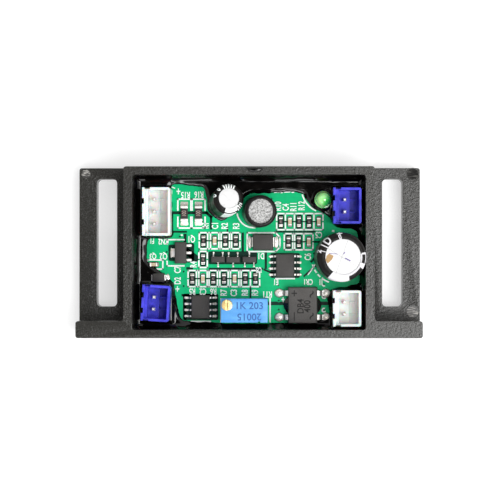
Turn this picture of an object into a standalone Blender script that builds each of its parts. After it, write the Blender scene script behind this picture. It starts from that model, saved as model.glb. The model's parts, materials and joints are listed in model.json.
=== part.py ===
"""Potted driver board in an open plastic case with two slotted mounting ears.

Metres, +Z up. The origin is the middle of the case's footprint, on its underside. X runs along the
case from ear to ear, and the raised bar along the case's lower edge is at -Y.
"""

import math

import bmesh
import bpy
from mathutils import Matrix

MM = 0.001

# Case: a tub between two flat ears, with a bar along one side that spans the ears.
CASE_LENGTH = 70.9 * MM
CASE_WIDTH = 35.1 * MM
CASE_HEIGHT = 13.5 * MM
EAR_LENGTH = 9.8 * MM
EAR_THICKNESS = 4.7 * MM
TUB_END_WALL = 1.8 * MM
TUB_SIDE_WALL = 1.68 * MM
TUB_FLOOR = 1.2 * MM
BAR_WIDTH = 3.46 * MM
SLOT_WIDTH = 4.25 * MM
SLOT_FROM_TUB = 1.95 * MM
SLOT_FROM_BAR = 2.8 * MM
SLOT_FROM_EDGE = 2.25 * MM
OUTER_CORNER_RADIUS = 0.5 * MM
BAR_FILLET_RADIUS = 0.7 * MM
SLOT_CORNER_RADIUS = 0.9 * MM
TUB_CORNER_RADIUS = 0.6 * MM

# Circuit board and the resin that it is potted in.
BOARD_EDGE_GAP = 0.45 * MM
BOARD_THICKNESS = 1.6 * MM
BOARD_OVER_FLOOR = 2.2 * MM
RESIN_OVER_BOARD = 0.45 * MM
LEAD_BELOW_BOARD = 1.1 * MM
LEAD_INTO_CORE = 0.5 * MM
PART_LIFT = 0.1 * MM

# Clearances.
RESIN_GAP = 0.15 * MM
SOLDER_GAP = 0.1 * MM
LEAD_HOLE_GAP = 0.15 * MM
PRESS_GAP = 0.1 * MM
SLEEVE_GAP = 0.1 * MM
WINDING_FROM_RIM = 0.3 * MM
CUT_PAST = 1.0 * MM

# Wire-to-board sockets, with square pins.
PIN_PITCH = 2.5 * MM
PIN_THICKNESS = 0.64 * MM
PIN_TIP = 0.35 * MM
PIN_BELOW_RIM = 1.5 * MM
PIN_ROW_OFFSET = -0.5 * MM
SOCKET_DEPTH = 5.75 * MM
SOCKET_HEIGHT = 7.0 * MM
SOCKET_END = 2.45 * MM
SOCKET_WALL = 0.72 * MM
SOCKET_FLOOR = 1.7 * MM
SOCKET_CORNER_RADIUS = 0.55 * MM
LATCH_NOTCH_WIDTH = 0.9 * MM
LATCH_NOTCH_FROM_END = 1.9 * MM
KEY_SLOT_WIDTH = 1.1 * MM
KEY_SLOT_FROM_LATCH = 1.35 * MM

# Indicator lamp.
LED_DIAMETER = 3.0 * MM
LED_FLANGE_DIAMETER = 3.6 * MM
LED_FLANGE_HEIGHT = 1.0 * MM
LED_HEIGHT = 5.3 * MM
LED_LEAD_THICKNESS = 0.5 * MM
LED_LEAD_PITCH = 2.54 * MM

# Multi-turn trimmer: a worm on the screw turns a wheel inside the housing.
TRIMMER_LENGTH = 9.53 * MM
TRIMMER_WIDTH = 4.83 * MM
TRIMMER_HEIGHT = 10.03 * MM
TRIMMER_WALL = 0.42 * MM
TRIMMER_TOP = 1.0 * MM
TRIMMER_BASE = 1.0 * MM
TRIMMER_LEAD_PITCH = 2.54 * MM
TRIMMER_LEAD_THICKNESS = 0.5 * MM
SCREW_FROM_SIDES = 1.27 * MM
SCREW_HEAD_DIAMETER = 2.2 * MM
SCREW_HEAD_HEIGHT = 1.3 * MM
SCREW_NECK_DIAMETER = 1.3 * MM
SCREW_SLOT_WIDTH = 0.5 * MM
SCREW_SLOT_DEPTH = 0.6 * MM
WORM_DIAMETER = 1.5 * MM
WORM_ROOT_DIAMETER = 1.1 * MM
WHEEL_DIAMETER = 5.0 * MM
WHEEL_THICKNESS = 1.2 * MM
WHEEL_TEETH = 30
WHEEL_TOOTH_DEPTH = 0.2 * MM
WHEEL_AXLE_DIAMETER = 1.2 * MM
WORM_STEPS_PER_TURN = 10

ROUND_SIDES = 40
SCREW_SIDES = 24
AXLE_SIDES = 16
LEAD_HOLE_SIDES = 8
ARC_STEP = math.radians(22.5)
SMOOTH_ANGLE = math.radians(35)

# Places on the board, in millimetres from its middle.
SMALL_CAPACITOR_PLACE = (-5.3, 10.3)
INDUCTOR_PLACE = (1.75, 8.4)
BIG_CAPACITOR_Y = -1.0
TRIMMER_PLACE = (-0.93, -11.9)
BRIDGE_PLACE = (11.05, -10.96)
REGULATOR_PLACE = (-14.3, -0.07)
POWER_DIODE_PLACE = (2.84, 2.13)
BURIED_DIODE_PLACE = (-18.9, -5.26)
SO8_PLACES = ((7.43, -2.73), (-10.16, -11.34))
SOT23_PLACES = ((-6.53, -1.46, 180), (-3.39, -1.52, 180), (-0.03, -1.5, 0))
RESISTOR_1206_PLACES = ((-13.56, 8.08), (-10.59, 8.08))
RESISTOR_0603_PLACES = (
    (-9.57, 2.43),
    (-5.02, 2.43),
    (-2.85, 2.43),
    (-9.65, -1.46),
    (-11.9, -5.45),
    (-7.53, -5.45),
    (-5.3, -5.45),
    (-0.86, -5.45),
    (1.24, -5.45),
    (6.54, 6.4),
    (10.3, 6.4),
    (12.39, 6.4),
)
CAPACITOR_0603_PLACES = (
    (-7.24, 2.43, 0),
    (-9.67, -5.45, 0),
    (-3.08, -5.45, 0),
    (8.41, 6.4, 0),
    (14.42, 6.4, 0),
)
BURIED_CAPACITOR_PLACE = (-19.94, -2.52, 90)
# One row of chips stands beside the big capacitor, at distances from its side.
ROW_BESIDE_CAPACITOR_Y = 2.22
RESISTORS_FROM_CAPACITOR = (5.28, 3.13)
CAPACITOR_FROM_CAPACITOR = 1.06
# Packages: size is length in X, width in Y and height, lead is thickness and width, and reach is
# how far a lead's end is from the middle.
BRIDGE = {"size": (6.1 * MM, 7.6 * MM, 2.6 * MM), "lead": (0.3 * MM, 1.1 * MM), "reach": 4.75 * MM}
BRIDGE_LEAD_PITCH = 5.0 * MM
SO8 = {"size": (3.9 * MM, 4.9 * MM, 1.5 * MM), "lead": (0.2 * MM, 0.42 * MM), "reach": 3.0 * MM}
SO8_LEAD_PITCH = 1.27 * MM
SOT23 = {"size": (1.3 * MM, 2.9 * MM, 1.0 * MM), "lead": (0.15 * MM, 0.42 * MM), "reach": 1.2 * MM}
SOT23_LEAD_OFFSET = 0.95 * MM
DIODE = {"size": (4.3 * MM, 3.4 * MM, 2.2 * MM), "lead": (0.2 * MM, 2.0 * MM), "reach": 2.7 * MM}
SMALL_DIODE = {"size": (2.6 * MM, 1.9 * MM, 1.3 * MM), "lead": (0.2 * MM, 1.2 * MM), "reach": 1.8 * MM}
REGULATOR_SIZE = (2.45 * MM, 4.5 * MM, 1.5 * MM)
REGULATOR_TAB = {"middle": -1.35 * MM, "size": (1.3 * MM, 1.8 * MM), "thickness": 0.4 * MM}
REGULATOR_LEAD = {"middle": 1.5 * MM, "size": (1.2 * MM, 0.45 * MM), "pitch": 1.5 * MM}
# Chips: length, width, height and length of each metal cap.
CHIP_1206 = (3.2 * MM, 1.6 * MM, 0.6 * MM, 0.5 * MM)
RESISTOR_0603 = (1.6 * MM, 0.8 * MM, 0.45 * MM, 0.3 * MM)
CAPACITOR_0603 = (1.6 * MM, 0.8 * MM, 0.8 * MM, 0.35 * MM)
CAP_STANDS_PROUD = 0.03 * MM
LEAD_INTO_BODY = 0.2 * MM
# A gull lead's foot and its straight start, as shares of how far it sticks out, and the height it
# leaves the body at, as a share of the body's.
LEAD_FOOT_SHARE = 0.5
LEAD_START_SHARE = 0.25
LEAD_RISE_SHARE = 0.5
# Sockets keep their distance from a corner of the board: name, pins, colour, side in X, side in Y,
# distance from the end and from the long edge in millimetres, and turn in degrees.
SOCKETS = (
    ("three_pin_socket", 3, "white", -1, 1, 4.37, 7.04, 0),
    ("right_blue_socket", 2, "blue", 1, 1, 3.25, 5.85, 0),
    ("left_blue_socket", 2, "blue", -1, -1, 4.25, 4.94, -3.5),
    ("right_white_socket", 2, "white", 1, -1, 3.3, 3.9, 0),
)
# The lamp stands beside one of them.
LED_BESIDE = "right_blue_socket"
LED_FROM_SOCKET = 0.155 * MM
LED_FROM_LONG_EDGE = 4.47
# The edge of the resin over the board: it follows the parts in the middle, so it is measured from
# there too, anticlockwise.
RESIN_EDGE = (
    (22.5, 3.22), (20.9, 5.12), (16.8, 6.82), (14.9, 8.32), (13.2, 9.22),
    (10.5, 12.12),
    (-2.0, 12.12), (-5.3, 7.12), (-9.0, 9.72), (-9.7, 13.42), (-16.2, 13.82),
    (-16.2, 3.02), (-21.2, 2.22),
    (-21.3, -2.02), (-17.8, -5.12), (-16.1, -7.22), (-15.3, -9.52), (-14.0, -13.72),
    (-6.5, -14.42),
    (4.0, -14.72), (10.4, -14.62), (16.4, -12.82), (22.6, -5.77),
)

# Sizes that follow from the ones above.
TUB_LENGTH = CASE_LENGTH - 2 * EAR_LENGTH
CAVITY_LENGTH = TUB_LENGTH - 2 * TUB_END_WALL
CAVITY_WIDTH = CASE_WIDTH - 2 * TUB_SIDE_WALL
BOARD_LENGTH = CAVITY_LENGTH - 2 * BOARD_EDGE_GAP
BOARD_WIDTH = CAVITY_WIDTH - 2 * BOARD_EDGE_GAP
BOARD_BOTTOM = TUB_FLOOR + BOARD_OVER_FLOOR
BOARD_TOP = BOARD_BOTTOM + BOARD_THICKNESS
PART_BASE = BOARD_TOP + SOLDER_GAP
RESIN_TOP = BOARD_TOP + RESIN_OVER_BOARD
LEAD_BOTTOM = BOARD_BOTTOM - LEAD_BELOW_BOARD
WORM_PITCH = math.pi * WHEEL_DIAMETER / WHEEL_TEETH


def material(name, colour, roughness, metallic=0.0):
    """A plain surface: colour is linear red, green and blue."""
    made = bpy.data.materials.new(name)
    made.use_nodes = True
    surface = made.node_tree.nodes["Principled BSDF"]
    surface.inputs["Base Color"].default_value = (*colour, 1.0)
    surface.inputs["Roughness"].default_value = roughness
    surface.inputs["Metallic"].default_value = metallic
    return made


def box(bm, centre, size, bottom, top, turn=0.0):
    """Adds an upright block, turned about its own middle."""
    place = Matrix.Translation((centre[0], centre[1], (bottom + top) / 2))
    scale = Matrix.Diagonal((size[0], size[1], top - bottom, 1.0))
    bmesh.ops.create_cube(bm, size=1.0, matrix=place @ Matrix.Rotation(turn, 4, "Z") @ scale)


def rod(bm, centre, radius, bottom, top, sides=ROUND_SIDES, frame=Matrix()):
    """Adds an upright cylinder, in a frame of its own where one is given."""
    place = Matrix.Translation((centre[0], centre[1], (bottom + top) / 2))
    bmesh.ops.create_cone(
        bm,
        cap_ends=True,
        segments=sides,
        radius1=radius,
        radius2=radius,
        depth=top - bottom,
        matrix=frame @ place,
    )


def rounded(corners, radii):
    """An outline whose corners are replaced by arcs, for outward and inward corners alike."""
    outline = []
    count = len(corners)
    for index, (x, y) in enumerate(corners):
        radius = radii[index]
        if radius == 0:
            outline.append((x, y))
            continue
        before, after = corners[index - 1], corners[(index + 1) % count]
        back = math.atan2(before[1] - y, before[0] - x)
        ahead = math.atan2(after[1] - y, after[0] - x)
        opening = (ahead - back + math.pi) % (2 * math.pi) - math.pi
        middle = back + opening / 2
        reach = radius / math.sin(abs(opening) / 2)
        centre = (x + reach * math.cos(middle), y + reach * math.sin(middle))
        sweep = math.pi - abs(opening)
        steps = max(2, round(sweep / ARC_STEP))
        side = 1 if opening < 0 else -1
        for step in range(steps + 1):
            angle = middle + math.pi + side * sweep * (step / steps - 0.5)
            outline.append((centre[0] + radius * math.cos(angle), centre[1] + radius * math.sin(angle)))
    return outline


def prism(bm, outline, bottom, top):
    """Adds the upright solid over an outline."""
    face = bm.faces.new([bm.verts.new((x, y, bottom)) for x, y in outline])
    raised = bmesh.ops.extrude_face_region(bm, geom=[face])["geom"]
    verts = [item for item in raised if isinstance(item, bmesh.types.BMVert)]
    bmesh.ops.translate(bm, verts=verts, vec=(0, 0, top - bottom))


def lead_strip(bm, path, thickness, across, width):
    """Adds a bent strip of sheet: path is its middle line in X and Z, across its place in Y."""
    lower, upper = [], []
    for index, (x, z) in enumerate(path):
        ahead = path[min(index + 1, len(path) - 1)]
        behind = path[max(index - 1, 0)]
        run, rise = ahead[0] - behind[0], ahead[1] - behind[1]
        length = math.hypot(run, rise)
        shift_x, shift_z = -rise / length * thickness / 2, run / length * thickness / 2
        upper.append((x + shift_x, z + shift_z))
        lower.append((x - shift_x, z - shift_z))
    outline = lower + upper[::-1]
    face = bm.faces.new([bm.verts.new((x, across - width / 2, z)) for x, z in outline])
    raised = bmesh.ops.extrude_face_region(bm, geom=[face])["geom"]
    verts = [item for item in raised if isinstance(item, bmesh.types.BMVert)]
    bmesh.ops.translate(bm, verts=verts, vec=(0, width, 0))


def turned(bm, profile, sides=ROUND_SIDES):
    """Adds the solid that a closed profile of radius and height sweeps about Z."""
    verts = [bm.verts.new((radius, 0, height)) for radius, height in profile]
    edges = [bm.edges.new((verts[i - 1], verts[i])) for i in range(len(verts))]
    on_axis = [e for e in edges if all(v.co.x == 0 for v in e.verts)]
    swept = [e for e in edges if e not in on_axis]
    bmesh.ops.spin(
        bm,
        geom=verts + swept,
        cent=(0, 0, 0),
        axis=(0, 0, 1),
        angle=2 * math.pi,
        steps=sides,
        use_merge=True,
    )
    for edge in on_axis:
        bm.edges.remove(edge)
    bmesh.ops.remove_doubles(bm, verts=bm.verts, dist=0.001 * MM)


def mesh_from(bm, name):
    """The mesh of a bmesh, with its faces pointing out and only its round faces smooth."""
    bmesh.ops.recalc_face_normals(bm, faces=bm.faces)
    mesh = bpy.data.meshes.new(name)
    bm.to_mesh(mesh)
    bm.free()
    mesh.shade_smooth()
    mesh.set_sharp_from_angle(angle=SMOOTH_ANGLE)
    return mesh


def add_object(name, mesh, surface, location=(0, 0, 0), turn=0.0, parent=None):
    """Puts a mesh in the scene as a named object."""
    made = bpy.data.objects.new(name, mesh)
    if not mesh.materials:
        mesh.materials.append(surface)
    bpy.context.collection.objects.link(made)
    made.location = location
    made.rotation_euler.z = turn
    made.parent = parent
    return made


def add_empty(name, location, lean=0.0, toward=0.0):
    """An empty that several objects stand on, leaning from upright toward an angle from +X."""
    made = bpy.data.objects.new(name, None)
    bpy.context.collection.objects.link(made)
    made.location = location
    made.rotation_euler = (0, lean, toward)
    return made


def helper_object(name, bm):
    """A cutter or an added shape: it takes part in Booleans and is never rendered."""
    made = bpy.data.objects.new(name, mesh_from(bm, name))
    bpy.context.collection.objects.link(made)
    made.hide_render = True
    made.display_type = "WIRE"
    return made


def combine(target, operation, helper):
    """Adds a live Boolean to an object."""
    step = target.modifiers.new(helper.name, "BOOLEAN")
    step.operation = operation
    step.solver = "EXACT"
    step.use_self = True
    step.object = helper


def joined_mesh(name, body, extras):
    """One closed mesh from a body and the shapes that grow out of it."""
    base = helper_object(name + "_body", body)
    added = helper_object(name + "_extras", extras)
    combine(base, "UNION", added)
    graph = bpy.context.evaluated_depsgraph_get()
    mesh = bpy.data.meshes.new_from_object(base.evaluated_get(graph))
    mesh.name = name
    bpy.data.objects.remove(base)
    bpy.data.objects.remove(added)
    mesh.shade_smooth()
    mesh.set_sharp_from_angle(angle=SMOOTH_ANGLE)
    return mesh


def on_board(place):
    """Metres from millimetres, for a place measured from the middle of the board."""
    return place[0] * MM, place[1] * MM


def from_corner(side_x, side_y, inset_x, inset_y):
    """A place measured in millimetres from a corner of the board."""
    return (
        side_x * (BOARD_LENGTH / 2 - inset_x * MM),
        side_y * (BOARD_WIDTH / 2 - inset_y * MM),
    )


def big_capacitor_place():
    """Its place in millimetres: its side is in line with the end of the board."""
    radius = ROUND_PARTS["big_capacitor"]["diameter"] / 2
    return (BOARD_LENGTH / 2 - radius) / MM, BIG_CAPACITOR_Y


def beside_capacitor(distance):
    """The place of a chip in the row beside the big capacitor, this far from its side."""
    radius = ROUND_PARTS["big_capacitor"]["diameter"] / 2
    return big_capacitor_place()[0] - radius / MM - distance, ROW_BESIDE_CAPACITOR_Y


def lead_hole(drills, centre, thickness):
    """Adds the drill of one lead, through the board and into the resin under it."""
    radius = thickness / 2 * math.sqrt(2) + LEAD_HOLE_GAP
    rod(drills, centre, radius, LEAD_BOTTOM - RESIN_GAP, RESIN_TOP + CUT_PAST, LEAD_HOLE_SIDES)


def case_object(surface):
    """The one-piece moulding: tub, bar and slotted ears."""
    half_length, half_width, half_tub = CASE_LENGTH / 2, CASE_WIDTH / 2, TUB_LENGTH / 2
    bar_edge = -half_width + BAR_WIDTH
    corners = [
        (-half_length, -half_width),
        (half_length, -half_width),
        (half_length, bar_edge),
        (half_tub, bar_edge),
        (half_tub, half_width),
        (-half_tub, half_width),
        (-half_tub, bar_edge),
        (-half_length, bar_edge),
    ]
    outer, fillet = OUTER_CORNER_RADIUS, BAR_FILLET_RADIUS
    radii = [outer, outer, outer, fillet, outer, outer, fillet, outer]
    tall = bmesh.new()
    prism(tall, rounded(corners, radii), 0, CASE_HEIGHT)

    ears = bmesh.new()
    for side in (-1, 1):
        inner, far = side * (half_tub - TUB_END_WALL / 2), side * half_length
        low, high = bar_edge - BAR_WIDTH / 2, half_width
        corners = [(inner, low), (far, low), (far, high), (inner, high)]
        prism(ears, rounded(corners, [0, 0, outer, 0]), 0, EAR_THICKNESS)
    case = add_object("case", joined_mesh("case", tall, ears), surface)

    hollow = bmesh.new()
    half_x, half_y = CAVITY_LENGTH / 2, CAVITY_WIDTH / 2
    corners = [(-half_x, -half_y), (half_x, -half_y), (half_x, half_y), (-half_x, half_y)]
    prism(hollow, rounded(corners, [TUB_CORNER_RADIUS] * 4), TUB_FLOOR, CASE_HEIGHT + CUT_PAST)
    combine(case, "DIFFERENCE", helper_object("tub_hollow", hollow))

    slots = bmesh.new()
    for side in (-1, 1):
        near = side * (half_tub + SLOT_FROM_TUB)
        far = near + side * SLOT_WIDTH
        low, high = bar_edge + SLOT_FROM_BAR, half_width - SLOT_FROM_EDGE
        corners = [(near, low), (far, low), (far, high), (near, high)]
        prism(slots, rounded(corners, [SLOT_CORNER_RADIUS] * 4), -CUT_PAST, EAR_THICKNESS + CUT_PAST)
    combine(case, "DIFFERENCE", helper_object("ear_slots", slots))
    return case


def board_object(surface, drills):
    """The bare circuit board, drilled for every lead."""
    plate = bmesh.new()
    box(plate, (0, 0), (BOARD_LENGTH, BOARD_WIDTH), BOARD_BOTTOM, BOARD_TOP)
    board = add_object("circuit_board", mesh_from(plate, "circuit_board"), surface)
    combine(board, "DIFFERENCE", drills)


def resin_object(surface, drills, footprints):
    """The potting resin: under the board, round its edges, and over its rim up to an uneven edge."""
    block = bmesh.new()
    gap = RESIN_GAP
    size = (CAVITY_LENGTH - 2 * gap, CAVITY_WIDTH - 2 * gap)
    half_x, half_y = size[0] / 2, size[1] / 2
    corners = [(-half_x, -half_y), (half_x, -half_y), (half_x, half_y), (-half_x, half_y)]
    prism(block, rounded(corners, [TUB_CORNER_RADIUS] * 4), TUB_FLOOR + gap, RESIN_TOP)
    resin = add_object("potting_resin", mesh_from(block, "potting_resin"), surface)

    room = bmesh.new()
    size = (BOARD_LENGTH + 2 * gap, BOARD_WIDTH + 2 * gap)
    box(room, (0, 0), size, BOARD_BOTTOM - gap, BOARD_TOP + gap)
    combine(resin, "DIFFERENCE", helper_object("board_room", room))

    window = bmesh.new()
    outline = [on_board(place) for place in RESIN_EDGE]
    prism(window, outline, BOARD_TOP, RESIN_TOP + CUT_PAST)
    combine(resin, "DIFFERENCE", helper_object("resin_window", window))
    combine(resin, "DIFFERENCE", drills)
    combine(resin, "DIFFERENCE", helper_object("part_footprints", footprints))


def socket_length(pins):
    return (pins - 1) * PIN_PITCH + 2 * SOCKET_END


def pin_offsets(pins):
    """The places of a socket's pins along its length, from its middle."""
    return [(index - (pins - 1) / 2) * PIN_PITCH for index in range(pins)]


def socket_mesh(pins):
    """A shrouded housing, with two latch notches in one long side and a key slot in each end."""
    length = socket_length(pins)
    half_x, half_y = SOCKET_DEPTH / 2, length / 2
    shell = bmesh.new()
    corners = [(-half_x, -half_y), (half_x, -half_y), (half_x, half_y), (-half_x, half_y)]
    radii = [0, SOCKET_CORNER_RADIUS, SOCKET_CORNER_RADIUS, 0]
    prism(shell, rounded(corners, radii), 0, SOCKET_HEIGHT)
    base = helper_object("socket_shell", shell)

    cuts = bmesh.new()
    inside = (SOCKET_DEPTH - 2 * SOCKET_WALL, length - 2 * SOCKET_WALL)
    above = SOCKET_HEIGHT + CUT_PAST
    box(cuts, (0, 0), inside, SOCKET_FLOOR, above)
    for side in (-1, 1):
        notch_y = side * (half_y - LATCH_NOTCH_FROM_END - LATCH_NOTCH_WIDTH / 2)
        box(cuts, (-half_x, notch_y), (3 * SOCKET_WALL, LATCH_NOTCH_WIDTH), SOCKET_FLOOR, above)
        key_x = -half_x + KEY_SLOT_FROM_LATCH + KEY_SLOT_WIDTH / 2
        box(cuts, (key_x, side * half_y), (KEY_SLOT_WIDTH, 3 * SOCKET_WALL), SOCKET_FLOOR, above)
    hole = PIN_THICKNESS + 2 * PRESS_GAP
    for y in pin_offsets(pins):
        box(cuts, (PIN_ROW_OFFSET, y), (hole, hole), -CUT_PAST, above)
    cutter = helper_object("socket_cuts", cuts)
    combine(base, "DIFFERENCE", cutter)
    graph = bpy.context.evaluated_depsgraph_get()
    mesh = bpy.data.meshes.new_from_object(base.evaluated_get(graph))
    bpy.data.objects.remove(base)
    bpy.data.objects.remove(cutter)
    return mesh


def pin_mesh():
    """A square pin with a tapered tip, standing on the socket's own base level."""
    bm = bmesh.new()
    top = SOCKET_HEIGHT - PIN_BELOW_RIM
    square = (PIN_THICKNESS, PIN_THICKNESS)
    box(bm, (0, 0), square, LEAD_BOTTOM - PART_BASE, top - PIN_TIP)
    crown = max(bm.faces, key=lambda face: face.calc_center_median().z)
    tip = bmesh.ops.extrude_face_region(bm, geom=[crown])["geom"]
    verts = [item for item in tip if isinstance(item, bmesh.types.BMVert)]
    bmesh.ops.translate(bm, verts=verts, vec=(0, 0, PIN_TIP))
    bmesh.ops.scale(bm, verts=verts, vec=(0.5, 0.5, 1.0))
    bm.faces.remove(crown)
    return mesh_from(bm, "socket_pin")


def add_sockets(surfaces, drills, footprints):
    """The four sockets near the board's corners, each with its pins."""
    pin = pin_mesh()
    for name, pins, colour, side_x, side_y, inset_x, inset_y, degrees in SOCKETS:
        x, y = from_corner(side_x, side_y, inset_x, inset_y)
        turn = math.radians(degrees)
        add_object(name, socket_mesh(pins), surfaces[colour], (x, y, PART_BASE), turn)
        size = (SOCKET_DEPTH + 2 * RESIN_GAP, socket_length(pins) + 2 * RESIN_GAP)
        box(footprints, (x, y), size, BOARD_TOP, RESIN_TOP + CUT_PAST, turn)
        for index, offset in enumerate(pin_offsets(pins)):
            pin_x = x + PIN_ROW_OFFSET * math.cos(turn) - offset * math.sin(turn)
            pin_y = y + PIN_ROW_OFFSET * math.sin(turn) + offset * math.cos(turn)
            pin_name = f"{name}_pin_{index + 1}"
            add_object(pin_name, pin, surfaces["tinned"], (pin_x, pin_y, PART_BASE), turn)
            lead_hole(drills, (pin_x, pin_y), PIN_THICKNESS)


def add_led(surface, drills, footprints):
    """The indicator lamp: a domed lens on a flange, with two leads."""
    radius, flange = LED_DIAMETER / 2, LED_FLANGE_DIAMETER / 2
    beside = next(row for row in SOCKETS if row[0] == LED_BESIDE)
    x, y = from_corner(1, 1, beside[5], LED_FROM_LONG_EDGE)
    x -= SOCKET_DEPTH / 2 + LED_FROM_SOCKET + flange
    shoulder = LED_HEIGHT - radius
    dome = [
        (radius * math.cos(step * ARC_STEP), shoulder + radius * math.sin(step * ARC_STEP))
        for step in range(4)
    ]
    profile = [(0, 0), (flange, 0), (flange, LED_FLANGE_HEIGHT), (radius, LED_FLANGE_HEIGHT)]
    profile += dome + [(0, LED_HEIGHT)]
    lens = bmesh.new()
    turned(lens, profile)
    leads = bmesh.new()
    for side in (-1, 1):
        offset = side * LED_LEAD_PITCH / 2
        square = (LED_LEAD_THICKNESS, LED_LEAD_THICKNESS)
        box(leads, (offset, 0), square, LEAD_BOTTOM - PART_BASE, LED_FLANGE_HEIGHT / 2)
        lead_hole(drills, (x + offset, y), LED_LEAD_THICKNESS)
    add_object("status_led", joined_mesh("status_led", lens, leads), surface, (x, y, PART_BASE))
    rod(footprints, (x, y), flange + RESIN_GAP, BOARD_TOP, RESIN_TOP + CUT_PAST)


# Upright round parts in a shrunk-on sleeve: the sleeve folds over the rim of the top face. The
# neck is the crimp groove of a can, or the winding space of the drum core.
ROUND_PARTS = {
    "small_capacitor": {
        "diameter": 6.3 * MM,
        "height": 7.2 * MM,
        "top_face": 4.3 * MM,
        "sleeve": 0.2 * MM,
        "lean": math.radians(11.0),
        "toward": math.radians(26.0),
        "lead": 0.45 * MM,
        "lead_pitch": 2.5 * MM,
        "neck_depth": 0.4 * MM,
        "neck": (1.1 * MM, 1.9 * MM),
    },
    "inductor": {
        "diameter": 6.6 * MM,
        "height": 8.0 * MM,
        "top_face": 4.9 * MM,
        "sleeve": 0.3 * MM,
        "lean": math.radians(5.0),
        "toward": 0.0,
        "lead": 0.6 * MM,
        "lead_pitch": 3.0 * MM,
        "neck_depth": 1.5 * MM,
        "neck": (1.3 * MM, 6.3 * MM),
    },
    "big_capacitor": {
        "diameter": 10.0 * MM,
        "height": 12.45 * MM,
        "top_face": 7.2 * MM,
        "sleeve": 0.25 * MM,
        "lean": math.radians(2.0),
        "toward": 0.0,
        "lead": 0.6 * MM,
        "lead_pitch": 5.0 * MM,
        "neck_depth": 0.5 * MM,
        "neck": (1.3 * MM, 2.3 * MM),
    },
}


def core_profile(part, radius, height):
    """The outline of a can or a drum core, with its neck."""
    inner = radius - part["neck_depth"]
    low, high = part["neck"]
    lower = [(0, 0), (radius, 0), (radius, low), (inner, low)]
    return lower + [(inner, high), (radius, high), (radius, height), (0, height)]


def add_round_part(name, core_name, place, surfaces, drills, footprints):
    """A can or a drum with its sleeve, on one empty that carries its lean. Returns the empty."""
    core_surface, sleeve_surface = surfaces
    part = ROUND_PARTS[name]
    x, y = on_board(place)
    outer, sleeve = part["diameter"] / 2, part["sleeve"]
    lean, toward = part["lean"], part["toward"]
    radius = outer - sleeve - SLEEVE_GAP
    top = part["height"]
    core_top = top - sleeve - SLEEVE_GAP
    lift = outer * math.sin(lean)
    stand = add_empty(name + "_stand", (x, y, PART_BASE + lift), lean, toward)

    core = bmesh.new()
    turned(core, core_profile(part, radius, core_top))
    leads = bmesh.new()
    for side in (-1, 1):
        # Each lead leaves the leaning base upright, so that it drops straight through its hole.
        offset = side * part["lead_pitch"] / 2
        upright = Matrix.Translation((0, offset, 0)) @ Matrix.Rotation(-lean, 4, "Y")
        bottom = LEAD_BOTTOM - PART_BASE - lift
        rod(leads, (0, 0), part["lead"] / 2, bottom, LEAD_INTO_CORE, LEAD_HOLE_SIDES, upright)
        hole = (x - offset * math.sin(toward), y + offset * math.cos(toward))
        lead_hole(drills, hole, part["lead"])
    add_object(core_name, joined_mesh(core_name, core, leads), core_surface, parent=stand)

    shell = bmesh.new()
    inside, rim = radius + SLEEVE_GAP, part["top_face"] / 2
    under_lip = top - sleeve
    profile = [(outer, 0), (outer, top), (rim, top), (rim, under_lip), (inside, under_lip), (inside, 0)]
    turned(shell, profile)
    sleeve_name = name + "_sleeve"
    add_object(sleeve_name, mesh_from(shell, sleeve_name), sleeve_surface, parent=stand)
    rod(footprints, (x, y), outer + RESIN_GAP, BOARD_TOP, RESIN_TOP + CUT_PAST)
    return stand


def add_inductor_winding(stand, surface):
    """The copper winding in the waist of the drum core."""
    part = ROUND_PARTS["inductor"]
    core = part["diameter"] / 2 - part["sleeve"] - SLEEVE_GAP
    inner, outer = core - part["neck_depth"] + PRESS_GAP, core - WINDING_FROM_RIM
    low, high = part["neck"][0] + PRESS_GAP, part["neck"][1] - PRESS_GAP
    ring = bmesh.new()
    turned(ring, [(outer, low), (outer, high), (inner, high), (inner, low)])
    add_object("inductor_winding", mesh_from(ring, "inductor_winding"), surface, parent=stand)


def worm_thread(bm, root, crest, bottom, top):
    """Adds the right-handed thread of a worm, as one ridge wound round Z and sunk into its shaft."""
    foot, tip, sunk = WORM_PITCH * 0.3, WORM_PITCH * 0.12, root * 0.85
    start, end = bottom + foot, top - foot
    steps = int((end - start) / WORM_PITCH * WORM_STEPS_PER_TURN)
    rings = []
    for step in range(steps + 1):
        angle = 2 * math.pi * step / WORM_STEPS_PER_TURN
        height = start + WORM_PITCH * step / WORM_STEPS_PER_TURN
        section = [(sunk, -foot), (crest, -tip), (crest, tip), (sunk, foot)]
        rings.append(
            [bm.verts.new((r * math.cos(angle), r * math.sin(angle), height + z)) for r, z in section]
        )
    for first, second in zip(rings, rings[1:]):
        for index in range(4):
            following = (index + 1) % 4
            bm.faces.new((first[index], first[following], second[following], second[index]))
    bm.faces.new(rings[0])
    bm.faces.new(rings[-1])


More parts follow.
